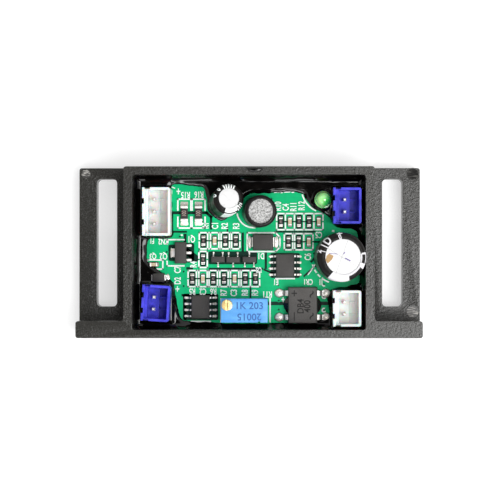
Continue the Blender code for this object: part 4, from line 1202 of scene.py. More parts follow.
# Printed arcs (centre, radius, angles) and thin lines, in millimetres from the board's middle.
ARCS = (
    (0.85, 8.6, 3.45, 188, 277), (15.95, 13.3, 5.1, 194, 246), (18.4, -1.0, 5.5, 196, 204),
    (18.4, -1.0, 5.5, 208, 216), (18.4, -1.0, 5.5, 220, 228), (18.4, -1.0, 5.5, 233, 250),
    (15.5, -9.2, 0.36, 0, 350), (15.5, -12.0, 0.36, 60, 330), (15.5, -6.6, 0.36, 200, 300),
)
PLAIN_LINES = (
    (-20.6, 3.3, -16.6, 3.5), (-16.6, 3.5, -16.2, 4.3), (3.3, 12.55, 3.9, 12.5), (4.4, 12.6, 4.7, 12.6),
    (5.2, 12.5, 6.2, 12.55), (6.6, 12.45, 6.8, 12.45), (7.3, 12.55, 8.4, 12.6), (8.9, 12.5, 9.2, 12.5),
    (12.9, -3.6, 14.0, -2.0), (12.2, -4.6, 13.0, -3.6), (-16.1, 13.6, -15.6, 13.4),
    (-16.2, 12.9, -16.2, 12.3),
)


def legend_lines():
    """Every printed line, and the arcs round the round parts."""
    frames = cell_frames() + bracket_frames() + part_frames()
    parts = [strokes(frames, INK_LINE, INK_THICKNESS, INK_Z, INK)]
    for x, y, radius, start, end in ARCS:
        line = arc(mm(x, y), radius * MM, start, end)
        parts.append(bent_stroke(line, INK_LINE, INK_THICKNESS, INK_Z, INK))
    plain = [mm(*line) for line in PLAIN_LINES]
    parts.append(strokes(plain, THIN_LINE, INK_THICKNESS, INK_Z, INK))
    piece("legend_lines", mesh_of(joined(parts)), INK)


# Part marks in the rows of small chips: text, place in millimetres from the board's middle and turn.
ROW_LABELS = (
    ("R1", -9.1, 5.6, 90), ("C1", -7.1, 5.6, 90), ("R2", -5.1, 5.5, 90), ("R3", -2.7, 5.5, 90),
    ("R4", -11.6, -2.5, 90), ("R5", -11.9, -8.1, 180), ("C2", -9.7, -8.1, 180),
    ("R6", -7.5, -8.1, 180), ("R7", -5.3, -8.4, 90), ("C3", -3.2, -8.4, 90), ("R8", -0.9, -8.4, 90),
    ("R9", 1.2, -8.4, 90), ("R10", 6.0, 9.6, 90), ("C4", 7.6, 9.4, 90), ("R11", 9.2, 9.5, 90),
    ("R12", 10.9, 9.7, 90), ("C5", 14.4, 3.7, 180), ("C6", 12.2, -0.9, 90),
    ("R15", -13.3, 12.0, 180), ("R16", -10.5, 12.1, 180),
)
# Marks of the remaining parts, with their size beside the others'.
PLAIN_LABELS = (
    ("+", -14.8, 12.6, 0, 1.3), ("+", -15.0, -7.7, 0, 1.2), ("-", -14.1, 3.8, 0, 1.3),
    ("Q1", -12.1, 2.8, 180, 1.0), ("CN2", -17.9, 2.3, 180, 0.9), ("F1", -20.3, 2.4, 180, 0.8),
    ("Q2", -17.9, -0.75, 180, 1.0), ("Q3", -20.1, -0.75, 180, 0.9), ("D2", -14.9, -5.9, 90, 1.0),
    ("C7", -14.9, -3.6, 90, 1.0), ("RT1", 3.7, -8.7, 180, 1.0), ("E1", 5.5, -6.1, 180, 0.9),
    ("D1", 2.4, -0.7, 180, 0.95), ("CR1", 12.2, -6.1, 180, 0.9), ("J1", 14.8, -6.1, 180, 0.9),
    ("-", 17.4, 4.7, 0, 1.6), ("+", 7.0, -9.9, 0, 1.1), ("U2", 1.9, -3.6, 180, 0.85),
)


def legend_words():
    """Every printed part mark."""
    rows = [(*label, 1.0) for label in ROW_LABELS]
    meshes = []
    for words, x, y, turn, scale in rows + list(PLAIN_LABELS):
        place = flat_place(x * MM, y * MM, INK_Z, turn)
        meshes.append(lettering(words, LABEL_HEIGHT * scale, INK_THICKNESS, place))
    piece("legend_words", welded(meshes), INK)


# ---------------------------------------------------------------- small chips


def chip_body_mesh(proud):
    """A chip's body one unit in each direction, its top a little crowned."""
    bm = bmesh.new()
    block(bm, (0, 0), (1, 1), -0.5, 0.5, draft=proud)
    ease(bm, 0.05, profile=0.6)
    return mesh_of(bm)


def chip_places(nodes, share_long, share_wide, share_high, at_ends=False):
    """Where the bodies or the end caps of the chips stand, for copies."""
    places = []
    for node in nodes:
        c, size = middle(node), span(node)
        along_y = size.y > size.x
        length, width = max(size.x, size.y), min(size.x, size.y)
        scale = (width * share_wide, length * share_long, size.z * share_high)
        turn = 0 if along_y else 90
        ends = (-1, 1) if at_ends else (0,)
        for end in ends:
            shift = end * length * (1 - share_long) / 2
            x, y = (c.x, c.y + shift) if along_y else (c.x + shift, c.y)
            places.append((x, y, c.z, turn, scale))
    return places


def small_chips():
    """Bodies and end caps of all the small chips."""
    body = chip_body_mesh(0.04)
    made = copies(body, chip_places(CHIP_RESISTORS + SENSE_RESISTORS, 0.93, 0.95, 0.9), RESISTOR)
    nodes = CHIP_RESISTORS + SENSE_RESISTORS
    piece("resistor_bodies", made, RESISTOR, replaces=nodes, smooth=50)
    made = copies(body, chip_places(CHIP_CAPACITORS, 0.93, 0.95, 0.94), CAPACITOR)
    piece("capacitor_bodies", made, CAPACITOR, replaces=CHIP_CAPACITORS, smooth=50)
    places = chip_places(CHIP_RESISTORS, 0.16, 1.0, 1.0, True)
    places += chip_places(CHIP_CAPACITORS, 0.2, 1.0, 1.0, True)
    places += chip_places(SENSE_RESISTORS, 0.16, 1.0, 1.0, True)
    piece("chip_end_caps", copies(chip_body_mesh(0.02), places, LEAD), LEAD, smooth=50)


def resistor_codes():
    """The three digits printed across each resistor."""
    meshes = []
    for number, node in enumerate(CHIP_RESISTORS + SENSE_RESISTORS):
        c, size = middle(node), span(node)
        code = ("103", "472", "102", "221")[number % 4] if size.y < 2 * MM else "100"
        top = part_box(node)[1].z - 0.01 * MM
        high = size.x * 0.62 if size.y < 2 * MM else size.x * 0.8
        place = flat_place(c.x, c.y, top, 90)
        meshes.append(lettering(code, high, 0.02 * MM, place, 0.004 * MM))
    piece("resistor_codes", welded(meshes), CODE_INK)


# ---------------------------------------------------------------- packages


def moulded(node, mesh, material=MOULDING):
    """Puts a package's body in the place of its CAD node."""
    piece(node + "_body", mesh, material, replaces=[node], smooth=25)


def package_body(node, size, draft, bevel, shift=0.0):
    """A moulded body: widest at its parting line, and drawn in above and below it."""
    low, high, c = box_of(node)
    centre, bottom, top = (c.x + shift, c.y), low.z + STAND_OFF, high.z
    bm = bmesh.new()
    parting = bottom + (top - bottom) * 0.45
    block(bm, centre, size, parting, top, draft=draft)
    lower = block(bm, centre, size, bottom, parting)
    for vert in lower:
        if vert.co.z < parting - TINY:
            vert.co.x -= math.copysign(draft / 3, vert.co.x - centre[0])
            vert.co.y -= math.copysign(draft / 3, vert.co.y - centre[1])
    bmesh.ops.remove_doubles(bm, verts=bm.verts, dist=TINY)
    inner = [f for f in bm.faces if abs(f.calc_center_median().z - parting) < TINY]
    bmesh.ops.delete(bm, geom=inner, context="FACES_ONLY")
    sharp = [e for e in bm.edges if e.calc_face_angle(0) > 0.3]
    ease(bm, bevel, sharp)
    return mesh_of(bm)


def lead_mesh(start, reach, rise, thickness, width):
    """A gull lead along +X: out of the body, down and out along the board, with round bends."""
    out = reach - start
    path = [Vector((start - 0.15 * MM, rise)), Vector((start + out * 0.3, rise))]
    path += [Vector((reach - out * 0.5, thickness / 2)), Vector((reach, thickness / 2))]
    line = [path[0]]
    for before, here, after in zip(path, path[1:], path[2:]):
        back = (before - here).normalized() * thickness * 0.9
        ahead = (after - here).normalized() * thickness * 0.9
        for t in (0, 0.33, 0.67, 1):
            line.append((here + back) * (1 - t) ** 2 + here * 2 * t * (1 - t) + (here + ahead) * t * t)
    line.append(path[-1])
    bm = bmesh.new()
    rings = []
    for index, spot in enumerate(line):
        run = (line[min(index + 1, len(line) - 1)] - line[max(index - 1, 0)]).normalized()
        side = Vector((-run.y, run.x)) * thickness / 2
        ring = [(spot - side, -1), (spot - side, 1), (spot + side, 1), (spot + side, -1)]
        rings.append([bm.verts.new((p.x, s * width / 2, p.y)) for p, s in ring])
    return lofted(bm, rings)


def add_leads(node, lead, spots, turn=0.0):
    """Leads of one package and the solder at their feet; spots are (side, offset) pairs."""
    c, low = middle(node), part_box(node)[0]
    places = [
        (*offset_place(c, turn, 0, offset), low.z, turn + (0 if side > 0 else 180), (1, 1, 1))
        for side, offset in spots
    ]
    piece(node + "_leads", copies(lead, places, LEAD), LEAD, smooth=40, bevel=0.03 * MM)


def offset_place(centre, turn, along, across):
    """A place beside a centre, in a frame turned by this many degrees."""
    shift = Matrix.Rotation(math.radians(turn), 2) @ Vector((along, across))
    return centre.x + shift.x, centre.y + shift.y


def solder_feet(node, reach, spots, size, turn=0.0):
    """Blobs of solder over the ends of a package's leads."""
    c = middle(node)
    places = []
    for side, offset in spots:
        x, y = offset_place(c, turn, side * reach, offset)
        places.append((x, y, PAD_Z, turn, size))
    foot_solder(node, places, 0.15)


def foot_solder(node, places, jitter=0.0):
    """Blobs of solder at these places, as one piece."""
    made = copies(dome_mesh(), places, SOLDER, jitter)
    piece(node + "_solder", made, SOLDER, smooth=80)


def so8_chips():
    """The two eight-lead chips, with a dimple by lead one."""
    lead = lead_mesh(*mm(1.95, 2.85, 0.75), thickness=0.2 * MM, width=0.42 * MM)
    spots = [(side, (index - 1.5) * CHIP_PITCH) for side in (-1, 1) for index in range(4)]
    profile = [(0, 0), (0.26 * MM, 0), mm(0.3, 0.3), (0, 0.3 * MM)]
    for node in SO8_CHIPS:
        high, c = box_of(node)[1:]
        dot = (c.x - 1.3 * MM, c.y + 1.85 * MM, high.z - 0.08 * MM)
        body = package_body(node, CHIP_SIZE, draft=0.34 * MM, bevel=0.05 * MM)
        moulded(node, cut(body, turned(profile, 20, Matrix.Translation(dot))))
        add_leads(node, lead, spots)
        solder_feet(node, 3.1 * MM, spots, size=mm(0.66, 0.56, 0.3))


def transistors():
    """The three small transistors between the chip rows; the third is turned the other way."""
    lead = lead_mesh(*mm(0.65, 1.2, 0.5), thickness=0.15 * MM, width=0.26 * MM)
    spots = [(-1, -0.95 * MM), (-1, 0.95 * MM), (1, 0)]
    for node, turn in zip(TRANSISTORS, (270, 270, 90)):
        moulded(node, package_body(node, mm(2.9, 1.3), draft=0.22 * MM, bevel=0.04 * MM))
        add_leads(node, lead, spots, turn)
        solder_feet(node, 1.4 * MM, spots, mm(0.42, 0.42, 0.22), turn=turn)


def regulator():
    """The tabbed regulator: wide tab at one side and three leads at the other."""
    node = "voltage_regulator"
    low, high, c = box_of(node)
    shift = low.x + 2 * MM - c.x
    body = package_body(node, mm(2.45, 4.5), draft=0.3 * MM, bevel=0.05 * MM, shift=shift)
    moulded(node, body)
    metal_top = low.z + 0.4 * MM
    bm = bmesh.new()
    block(bm, (low.x + 0.65 * MM, c.y), mm(1.3, 1.8), low.z, metal_top)
    places = []
    for y in (c.y - REGULATOR_PITCH, c.y, c.y + REGULATOR_PITCH):
        block(bm, (high.x - 0.6 * MM, y), mm(1.2, 0.5), low.z, metal_top)
        places.append((high.x + 0.02 * MM, y, PAD_Z, 0, mm(0.4, 0.6, 0.5)))
    ease(bm, 0.05 * MM)
    piece(node + "_metal", mesh_of(bm), LEAD, smooth=40)
    places.append((low.x + 0.02 * MM, c.y, PAD_Z, 0, mm(0.5, 2.0, 0.5)))
    foot_solder(node, places)


def diode(node, size, reach, lead_width, draft):
    """A diode in a block package, with one wide lead at each end."""
    low, high, c = box_of(node)
    band = bmesh.new()
    block(band, (c.x + size[0] * 0.28, c.y), (0.4 * MM, size[1]), high.z - 0.03 * MM, high.z + MM)
    moulded(node, cut(package_body(node, size, draft, bevel=0.06 * MM), mesh_of(band)))
    lead = lead_mesh(size[0] / 2, reach, (high.z - low.z) * 0.5, thickness=0.2 * MM, width=lead_width)
    spots = [(-1, 0), (1, 0)]
    add_leads(node, lead, spots)
    solder_feet(node, reach + 0.1 * MM, spots, (0.9 * MM, lead_width * 1.2, 0.5 * MM))


def bridge_marks(z, thickness):
    """The pressed signs and characters on the bridge's top."""
    c = middle("bridge_rectifier")
    marks = []
    for words, x, y, height, turn in (
        ("+", -1.75, 2.35, 2.6, 0), ("|", -1.75, -2.2, 2.0, 0), ("~", 1.75, 2.35, 2.9, 60),
        ("~", 1.75, -2.2, 2.9, 60), ("DB4", -0.4, -0.2, 1.9, 90), ("400", 1.0, -0.2, 1.9, 90),
    ):
        place = flat_place(c.x + x * MM, c.y + y * MM, z, turn)
        marks.append(lettering(words, height * MM, thickness, place, 0.03 * MM, 0.9))
    return welded(marks)


def bridge():
    """The bridge rectifier with its pressed marks, broad leads and round solder joints."""
    node = "bridge_rectifier"
    low, high, c = box_of(node)
    body = package_body(node, mm(6.1, 7.6), draft=0.36 * MM, bevel=0.07 * MM)
    moulded(node, cut(body, bridge_marks(high.z, 0.14 * MM)), PALE_MOULDING)
    # Painted shade: a near-black slab at the floor of the pressed marks.
    piece(node + "_marks", bridge_marks(high.z - 0.06 * MM, 0.01 * MM), PRESSED_SHADE)
    profile = [(0, -0.1, 0), (0.5, -0.1, 0), (0.5, 0.35), (0.28, 0.95), (0, 1, 0)]
    glue = turned(fillet(profile, 0.12, 6), 48)
    spread = Matrix.Diagonal((7.8 * MM, 5.4 * MM, 1.7 * MM, 1))
    glue.transform(Matrix.Translation((c.x, c.y, PAD_Z)) @ spread)
    piece(node + "_glue", glue, RESIN, smooth=80)
    lead = lead_mesh(*mm(3.05, 4.75), (high.z - low.z) * 0.5, thickness=0.3 * MM, width=1.1 * MM)
    spots = [(side, offset * PIN_PITCH) for side in (-1, 1) for offset in (-1, 1)]
    add_leads(node, lead, spots)
    solder_feet(node, 4.85 * MM, spots, mm(1.9, 1.75, 0.95))


# ---------------------------------------------------------------- sockets and pins


def socket_shell(pins, bottom, top, floor):
    """A socket housing about its own middle: thin walls, stepped floor and notches on the latch side."""
    length = SOCKET_LENGTH[pins]
    outer = bmesh.new()
    block(outer, (0, 0), (SOCKET_DEPTH, length), bottom, top)
    ease(outer, 0.45 * MM, [e for e in upright_edges(outer) if e.verts[0].co.x > 0], 3)
    inner = bmesh.new()
    middle_x = (LATCH_WALL - SOCKET_WALL) / 2
    hollow = (SOCKET_DEPTH - SOCKET_WALL - LATCH_WALL, length - 2 * SOCKET_WALL)
    block(inner, (middle_x, 0), hollow, floor, top + MM)
    notches = bmesh.new()
    for side in (-1, 1):
        latch = (-SOCKET_DEPTH / 2, side * NOTCH_OFFSET[pins])
        block(notches, latch, mm(0.75, 1.1), bottom - MM, top + MM)
        end = (-1.85 * MM, side * length / 2)
        block(notches, end, mm(1.1, 0.7), top - 3.6 * MM, top + MM)
    return cut(cut(mesh_of(outer), mesh_of(inner)), mesh_of(notches))


def socket_inside(pins, bottom, top):
    """What stands in a socket: a raised half, a ledge by the latch side and a rib beside each pin."""
    left, step_end = LATCH_WALL - SOCKET_DEPTH / 2, 0.55 * MM
    inside = SOCKET_LENGTH[pins] - 2 * SOCKET_WALL + 0.1 * MM
    bm = bmesh.new()
    half = (step_end - left + 0.1 * MM, inside)
    block(bm, ((left + step_end) / 2, 0), half, bottom + MM, bottom + 3.0 * MM)
    block(bm, (left + 0.25 * MM, 0), (0.6 * MM, inside), bottom + 2.9 * MM, top - 1.2 * MM)
    for index in range(pins):
        rib = (1.15 * MM, (index - (pins - 1) / 2) * PIN_PITCH)
        block(bm, rib, mm(1.3, 0.22), bottom + MM, bottom + 3.1 * MM)
    return mesh_of(bm)


def socket(node, material, slot, floor, turn=0.0):
    """A socket housing in its own frame, turned to its place."""
    low, high, c = box_of(node)
    pins = len([n for n in frame["nodes"] if n.startswith(node + "_pin")])
    place = flat_place(c.x, c.y, 0, turn)
    shell = socket_shell(pins, low.z, high.z, low.z + floor)
    shell.transform(place)
    piece(node + "_housing", shell, material, replaces=[node], bevel=0.07 * MM)
    inside = socket_inside(pins, low.z, high.z)
    inside.transform(place)
    piece(node + "_inside", inside, material, bevel=0.06 * MM)


def sockets():
    """The four housings; the left blue one stands a little askew."""
    socket("three_pin_socket", WHITE, "white_socket", floor=2.7 * MM)
    socket("right_white_socket", WHITE, "white_socket", floor=2.7 * MM)
    socket("right_blue_socket", BLUE, "blue_socket", floor=1.7 * MM)
    socket("left_blue_socket", BLUE, "blue_socket", floor=1.7 * MM, turn=-3.5)


def lamp():
    """The indicator lamp: domed lens on its flange."""
    high, c = box_of("status_led")[1:]
    base, radius, flange, steps = 5.1 * MM, 1.5 * MM, 1.8 * MM, 12
    spring = high.z - base - radius
    profile = [(0, 0), (flange, 0), (flange, MM), (radius, MM, 0.05 * MM), (radius, spring, 0)]
    for step in range(1, steps + 1):
        angle = math.pi / 2 * step / steps
        across = radius * math.cos(angle) if step < steps else 0
        profile.append((across, spring + radius * math.sin(angle), 0))
    mesh = turned(fillet(profile, 0.08 * MM), 48, Matrix.Translation((c.x, c.y, base)))
    piece("lamp_lens", mesh, LAMP_GREEN, replaces=["status_led"], smooth=50)


# ---------------------------------------------------------------- round parts


def stand_of(sleeve, height, lean, toward=0.0):
    """The frame of a leaning round part: its base centre, from the middle of its sleeve's box."""
    spin = Matrix.Rotation(math.radians(toward), 4, "Z")
    tilt = spin @ Matrix.Rotation(math.radians(lean), 4, "Y") @ spin.inverted()
    base = middle(sleeve) - tilt.to_3x3() @ Vector((0, 0, height / 2))
    return Matrix.Translation(base) @ tilt


class Shoulder:
    """The outside of a shrunk sleeve, measured from the edge of its opening outward and down.

    The film folds over the top unevenly, so the opening is shifted to one side."""

    def __init__(self, outer, height, bend, opening, shift=(0.0, 0.0)):
        self.outer, self.height, self.bend, self.opening = outer, height, bend, opening
        self.shift = shift
        arc_steps = [math.pi / 2 * step / 8 for step in range(9)]
        points = [(opening, height)]
        points += [
            (outer - bend + bend * math.sin(a), height - bend + bend * math.cos(a)) for a in arc_steps
        ]
        points.append((outer, 0.3 * MM))
        self.points = np.array(points)
        steps = np.hypot(*np.diff(self.points, axis=0).T)
        self.lengths = np.concatenate([[0], np.cumsum(steps)])

    def moved(self, angle, radius, height):
        """A place on the outside, with the opening's shift blended in toward it."""
        share = min(max((self.outer - radius) / (self.outer - self.opening), 0), 1)
        share *= height > self.height - self.bend * 1.5
        x = radius * math.cos(angle) + self.shift[0] * share
        y = radius * math.sin(angle) + self.shift[1] * share
        return Vector((x, y, height))

    def at(self, angle, along, lift):
        """The place at an angle, this far along from the opening and lifted off the film."""
        radius = np.interp(along, self.lengths, self.points[:, 0])
        height = np.interp(along, self.lengths, self.points[:, 1])
        step = 0.02 * MM
        dr = np.interp(along + step, self.lengths, self.points[:, 0]) - radius
        dz = np.interp(along + step, self.lengths, self.points[:, 1]) - height
        out = Vector((-dz, dr)).normalized() * lift
        return self.moved(angle, radius + out.x, height + out.y)


def sleeve_body(name, shoulder, stand, wall):
    """A shrunk sleeve: rounded shoulder, and a lip that curls over the rim of the top face."""
    outer, height, bend, rim = shoulder.outer, shoulder.height, shoulder.bend, shoulder.opening
    profile = [
        (outer - wall, 0, 0), (outer, 0, 0.05 * MM), (outer, 1.2 * MM, 0.3 * MM),
        (outer - 0.08 * MM, 1.7 * MM, 0.3 * MM), (outer, 2.3 * MM, 0.3 * MM),
        *[(radius, z, 0) for radius, z in reversed(shoulder.points[1:-1].tolist())],
        (rim, height, 0.08 * MM), (rim, height - 0.3 * MM, 0.05 * MM),
        (outer - wall - bend * 0.5, height - 0.45 * MM, 0.2 * MM),
        (outer - wall, height - bend - 0.4 * MM, 0.2 * MM),
    ]
    mesh = turned(fillet(profile, 0.1 * MM, 6), 72)
    for vert in mesh.vertices:
        x, y, z = vert.co
        vert.co = shoulder.moved(math.atan2(y, x), math.hypot(x, y), z)
    mesh.transform(stand)
    piece(name + "_wrap", mesh, SLEEVE, replaces=[name + "_sleeve"], smooth=60)


def shoulder_patch(shoulder, stand, start, end, near, far):
    """A printed patch on a sleeve, between two angles in degrees and two distances in millimetres."""
    lift = 0.02 * MM
    across = max(2, round((end - start) / 5))
    down = max(2, round((far - near) / 0.15))
    bm = bmesh.new()
    rings = []
    for step in range(across + 1):
        angle = math.radians(start + (end - start) * step / across)
        alongs = [(near + (far - near) * i / down) * MM for i in range(down + 1)]
        ring = [shoulder.at(angle, along, lift) for along in alongs]
        ring += [shoulder.at(angle, along, -lift) for along in reversed(alongs)]
        rings.append([bm.verts.new(place) for place in ring])
    loft(bm, rings)
    for ring in (rings[0], rings[-1]):
        for i in range(down):
            bm.faces.new((ring[i], ring[i + 1], ring[-2 - i], ring[-1 - i]))
    mesh = mesh_of(bm)
    mesh.transform(stand)
    return mesh


def sliced(mesh, axis, step):
    """A mesh whose faces are split across an axis, so that it can follow a curve."""
    bm = bmesh.new()
    bm.from_mesh(mesh)
    low = min(vert.co[axis] for vert in bm.verts)
    high = max(vert.co[axis] for vert in bm.verts)
    normal = Vector([float(i == axis) for i in range(3)])
    for k in range(1, int((high - low) / step) + 1):
        everything = bm.verts[:] + bm.edges[:] + bm.faces[:]
        bmesh.ops.bisect_plane(bm, geom=everything, plane_co=normal * (low + k * step), plane_no=normal)
    return mesh_of(bm)


def shoulder_mark(shoulder, stand, words, angle, along, size):
    """A printed character that follows the sleeve, its foot toward the opening."""
    mesh = lettering(words, size * MM, 0.04 * MM, Matrix(), 0.05 * MM, 0.85)
    mesh = sliced(sliced(mesh, 1, 0.12 * MM), 0, 0.3 * MM)
    for vert in mesh.vertices:
        u, v, w = vert.co
        turned_by = math.radians(angle) - u / (shoulder.outer * 0.9)
        vert.co = stand @ shoulder.at(turned_by, along * MM + v, w)
    return mesh


def scored_top(stand, height, radius, depth, arms):
    """A can with a scored top face."""
    foot = 0.1 * MM
    profile = [(0, foot, 0), (radius, foot, 0.2 * MM), (radius, height, 0.45 * MM), (0, height, 0)]
    can = turned(fillet(profile, 0.1 * MM, 4), 64)
    bm = bmesh.new()
    for degrees in arms:
        turn = math.radians(degrees)
        block(bm, (0, 0), (radius * 1.25, 0.18 * MM), height - depth, height + MM, turn)
    can = cut(can, mesh_of(bm))
    can.transform(stand)
    return can


def sleeve_print(name, shoulder, stand, patches, marks, ink):
    """The patches and the characters printed on a sleeve, as one piece."""
    meshes = [shoulder_patch(shoulder, stand, *place) for place in patches]
    meshes += [shoulder_mark(shoulder, stand, *mark) for mark in marks]
    piece(name + "_print", mesh_of(joined(meshes)), ink, smooth=60)


def small_capacitor():
    """The small capacitor, leaning, with the stripes and noughts on its sleeve."""
    stand = stand_of("small_capacitor_sleeve", SMALL_HEIGHT, lean=11.0, toward=26.0)
    shoulder = Shoulder(SMALL_RADIUS, SMALL_HEIGHT, bend=0.85 * MM, opening=2.12 * MM, shift=(0.0, 0.12 * MM))
    sleeve_body("small_capacitor", shoulder, stand, wall=0.2 * MM)
    can = scored_top(stand, SMALL_HEIGHT - CAN_SUNK, radius=2.85 * MM, depth=0.1 * MM, arms=(-38, 50))
    piece("small_capacitor_top", can, ALUMINIUM, replaces=["small_capacitor_can"], smooth=40)
    patches = [(a, a + 6, 0.0, 1.25) for a in (64, 76, 88, 99, 110)]
    patches += [(-108, -52, 0.0, 0.8), (-52, -36, 0.0, 0.35), (-50, -46, 0.5, 1.2), (-41, -37, 0.3, 1.1)]
    patches += [(-32, -28, 0.2, 1.1), (-24, -20, 0.2, 0.9), (-108, -60, 1.1, 6.4)]
    marks = (("0", 168, 1.05, 1.5), ("0", 138, 0.75, 1.3))
    sleeve_print("small_capacitor", shoulder, stand, patches, marks, INK)


def on_top(name, mesh, stand, material):
    """Puts a mark on the big capacitor's top face."""
    mesh.transform(stand)
    piece(name, mesh, material)


def top_marks(stand, height):
    """Painted shade along two score lines, ink dashes and a flux stain on the big capacitor's top face."""
    bm = bmesh.new()
    corners = ((-2.6, 0.7), (-1.65, 0.25), (-2.0, -0.5), (-2.85, -1.3), (-3.3, -0.65), (-3.1, 0.2))
    film = 0.02 * MM
    rings = [[bm.verts.new((x * MM, y * MM, height + z)) for x, y in corners] for z in (film, -film)]
    on_top("top_stain", lofted(bm, rings), stand, STAIN)
    # Painted shade: grey strips stand in for the shade in the score grooves.
    scores = []
    for degrees in (70, 148):
        x, y = arc((0, 0), 3.4 * MM, degrees, degrees)[0]
        scores.append((-x, -y, x, y))
    on_top("top_scores", strokes(scores, 0.15 * MM, 0.05 * MM, height, SCORE_SHADE), stand, SCORE_SHADE)
    dashes = ((0.75, -0.25, 1.65, -0.72, 0.2), (0.6, 0.95, 0.38, 0.62, 0.16), (-2.5, 0.72, -0.9, 0.6, 0.1))
    meshes = []
    for *line, width in dashes:
        meshes.append(strokes([mm(*line)], width * MM, 0.09 * MM, height, DASH_INK))
    on_top("top_dashes", mesh_of(joined(meshes)), stand, DASH_INK)


def big_capacitor():
    """The big capacitor, with the band and characters on its sleeve."""
    stand = stand_of("big_capacitor_sleeve", BIG_HEIGHT, lean=2.0)
    shoulder = Shoulder(BIG_RADIUS, BIG_HEIGHT, bend=1.0 * MM, opening=3.6 * MM, shift=mm(0.28, 0.02))
    sleeve_body("big_capacitor", shoulder, stand, wall=0.25 * MM)
    can = scored_top(stand, BIG_HEIGHT - CAN_SUNK, radius=4.6 * MM, depth=0.06 * MM, arms=(25,))
    piece("big_capacitor_top", can, ALUMINIUM, replaces=["big_capacitor_can"], smooth=40)
    patches = [(-124, -72, 0.0, 2.0), (-72, -28, 0.0, 0.45), (-30, -17, 0.0, 1.5), (-18, 10, 0.0, 0.3)]
    patches += [(-18, 10, 1.2, 1.5), (7, 12, 0.2, 1.4), (-120, -76, 2.0, 11.5)]
    marks = (
        ("+", 96, 1.2, 2.4), ("0", 98, 0.42, 1.5), ("D", 133, 0.85, 2.3), ("|", 149, 0.8, 2.1),
        ("2", 166, 1.3, 1.5), ("1", 164, 0.45, 1.1),
    )
    sleeve_print("big_capacitor", shoulder, stand, patches, marks, SLEEVE_INK)
    top_marks(stand, BIG_HEIGHT - CAN_SUNK)


def inductor():
    """The drum inductor: a ferrite drum in its sleeve, round the winding."""
    stand = stand_of("inductor_sleeve", DRUM_HEIGHT, lean=5.0)
    shoulder = Shoulder(DRUM_RADIUS, DRUM_HEIGHT, bend=0.55 * MM, opening=2.5 * MM)
    sleeve_body("inductor", shoulder, stand, wall=0.3 * MM)
    drum_top = DRUM_HEIGHT - CAN_SUNK
    profile = [
        (0, 0.1 * MM, 0), mm(2.7, 0.1), mm(2.7, 1.3), mm(1.3, 1.4),
        mm(1.3, 6.2), mm(2.9, 6.4), (2.9 * MM, drum_top, 0.2 * MM), (0, drum_top, 0),
    ]
    drum = turned(fillet(profile, 0.1 * MM), 64, stand)
    piece("inductor_drum", drum, FERRITE, replaces=["inductor_core"], smooth=40)


# ---------------------------------------------------------------- trimmer


def trimmer():
    """The trimmer's housing with pressed digits and the hole for its screw."""
    low, high, c = box_of("trimmer_housing")
    screw = middle("trimmer_screw")
    bm = bmesh.new()
    block(bm, c, (high.x - low.x, high.y - low.y), low.z, high.z)
    ease(bm, 0.12 * MM)
    shell = mesh_of(bm)
    cuts = bmesh.new()
    block(cuts, c, (high.x - low.x - 0.84 * MM, high.y - low.y - 0.84 * MM), low.z - MM, high.z - MM)
    block(cuts, (high.x - 1.75 * MM, low.y), mm(0.5, 0.5), low.z - MM, high.z + MM)
    place = Matrix.Translation((screw.x, screw.y, 0))
    hole = turned([(0, low.z), (0.78 * MM, low.z), (0.78 * MM, high.z + MM), (0, high.z + MM)], 24, place)
    shell = cut(cut(shell, mesh_of(cuts)), hole)
    shell = cut(shell, trimmer_digits(high.z, 0.16 * MM))
    piece("trimmer_case", shell, TRIMMER, replaces=["trimmer_housing"], smooth=25)
    # Painted shade: a dark slab sunk in the digits' recesses.
    piece("trimmer_digits", trimmer_digits(high.z - 0.06 * MM, 0.01 * MM), DIGIT_SHADE)


def trimmer_digits(z, thickness):
    """The two lines of pressed digits; the second stands on its head."""
    c = middle("trimmer_housing")
    meshes = []
    for words, x, y, turn in (("1K 203", 1.0, 0.95, 0), ("20015", 1.0, -1.2, 180)):
        spot = flat_place(c.x + x * MM, c.y + y * MM, z, turn)
        meshes.append(lettering(words, 2.0 * MM, thickness, spot, 0.03 * MM, 1.0))
    return welded(meshes)


def adjuster():
    """The brass screw: slotted head, neck, and a worm wound on its shaft."""
    low, high, c = box_of("trimmer_screw")
    top = high.z - low.z
    head = top - 1.2 * MM
    profile = [
        (0, 0, 0), (0.5 * MM, 0), (0.5 * MM, head - 1.2 * MM), (0.62 * MM, head - 1.2 * MM),
        (0.62 * MM, head), (1.1 * MM, head), (1.1 * MM, top, 0.14 * MM), (0, top, 0),
    ]
    shaft = turned(fillet(profile, 0.03 * MM, 4), 48, Matrix.Translation((c.x, c.y, low.z)))
    slot = bmesh.new()
    block(slot, c, mm(0.46, 6), high.z - 0.6 * MM, high.z + MM)
    shaft = cut(shaft, mesh_of(slot))
    seed = bpy.data.meshes.new("thread_seed")
    seed.from_pydata([(0, 0, 0)], [], [])
    turns = (head - 1.8 * MM) / WORM_PITCH
    worm = THREAD.made_from(
        seed, Radius=0.58 * MM, Pitch=WORM_PITCH, Turns=turns, Ridge=0.15 * MM, Material=BRASS
    )
    worm.transform(Matrix.Translation((c.x, c.y, low.z + 0.25 * MM)))
    made = mesh_of(joined([shaft, worm]))
    piece("adjuster_screw", made, BRASS, body="adjuster", replaces=["trimmer_screw"])


# ---------------------------------------------------------------- kept nodes


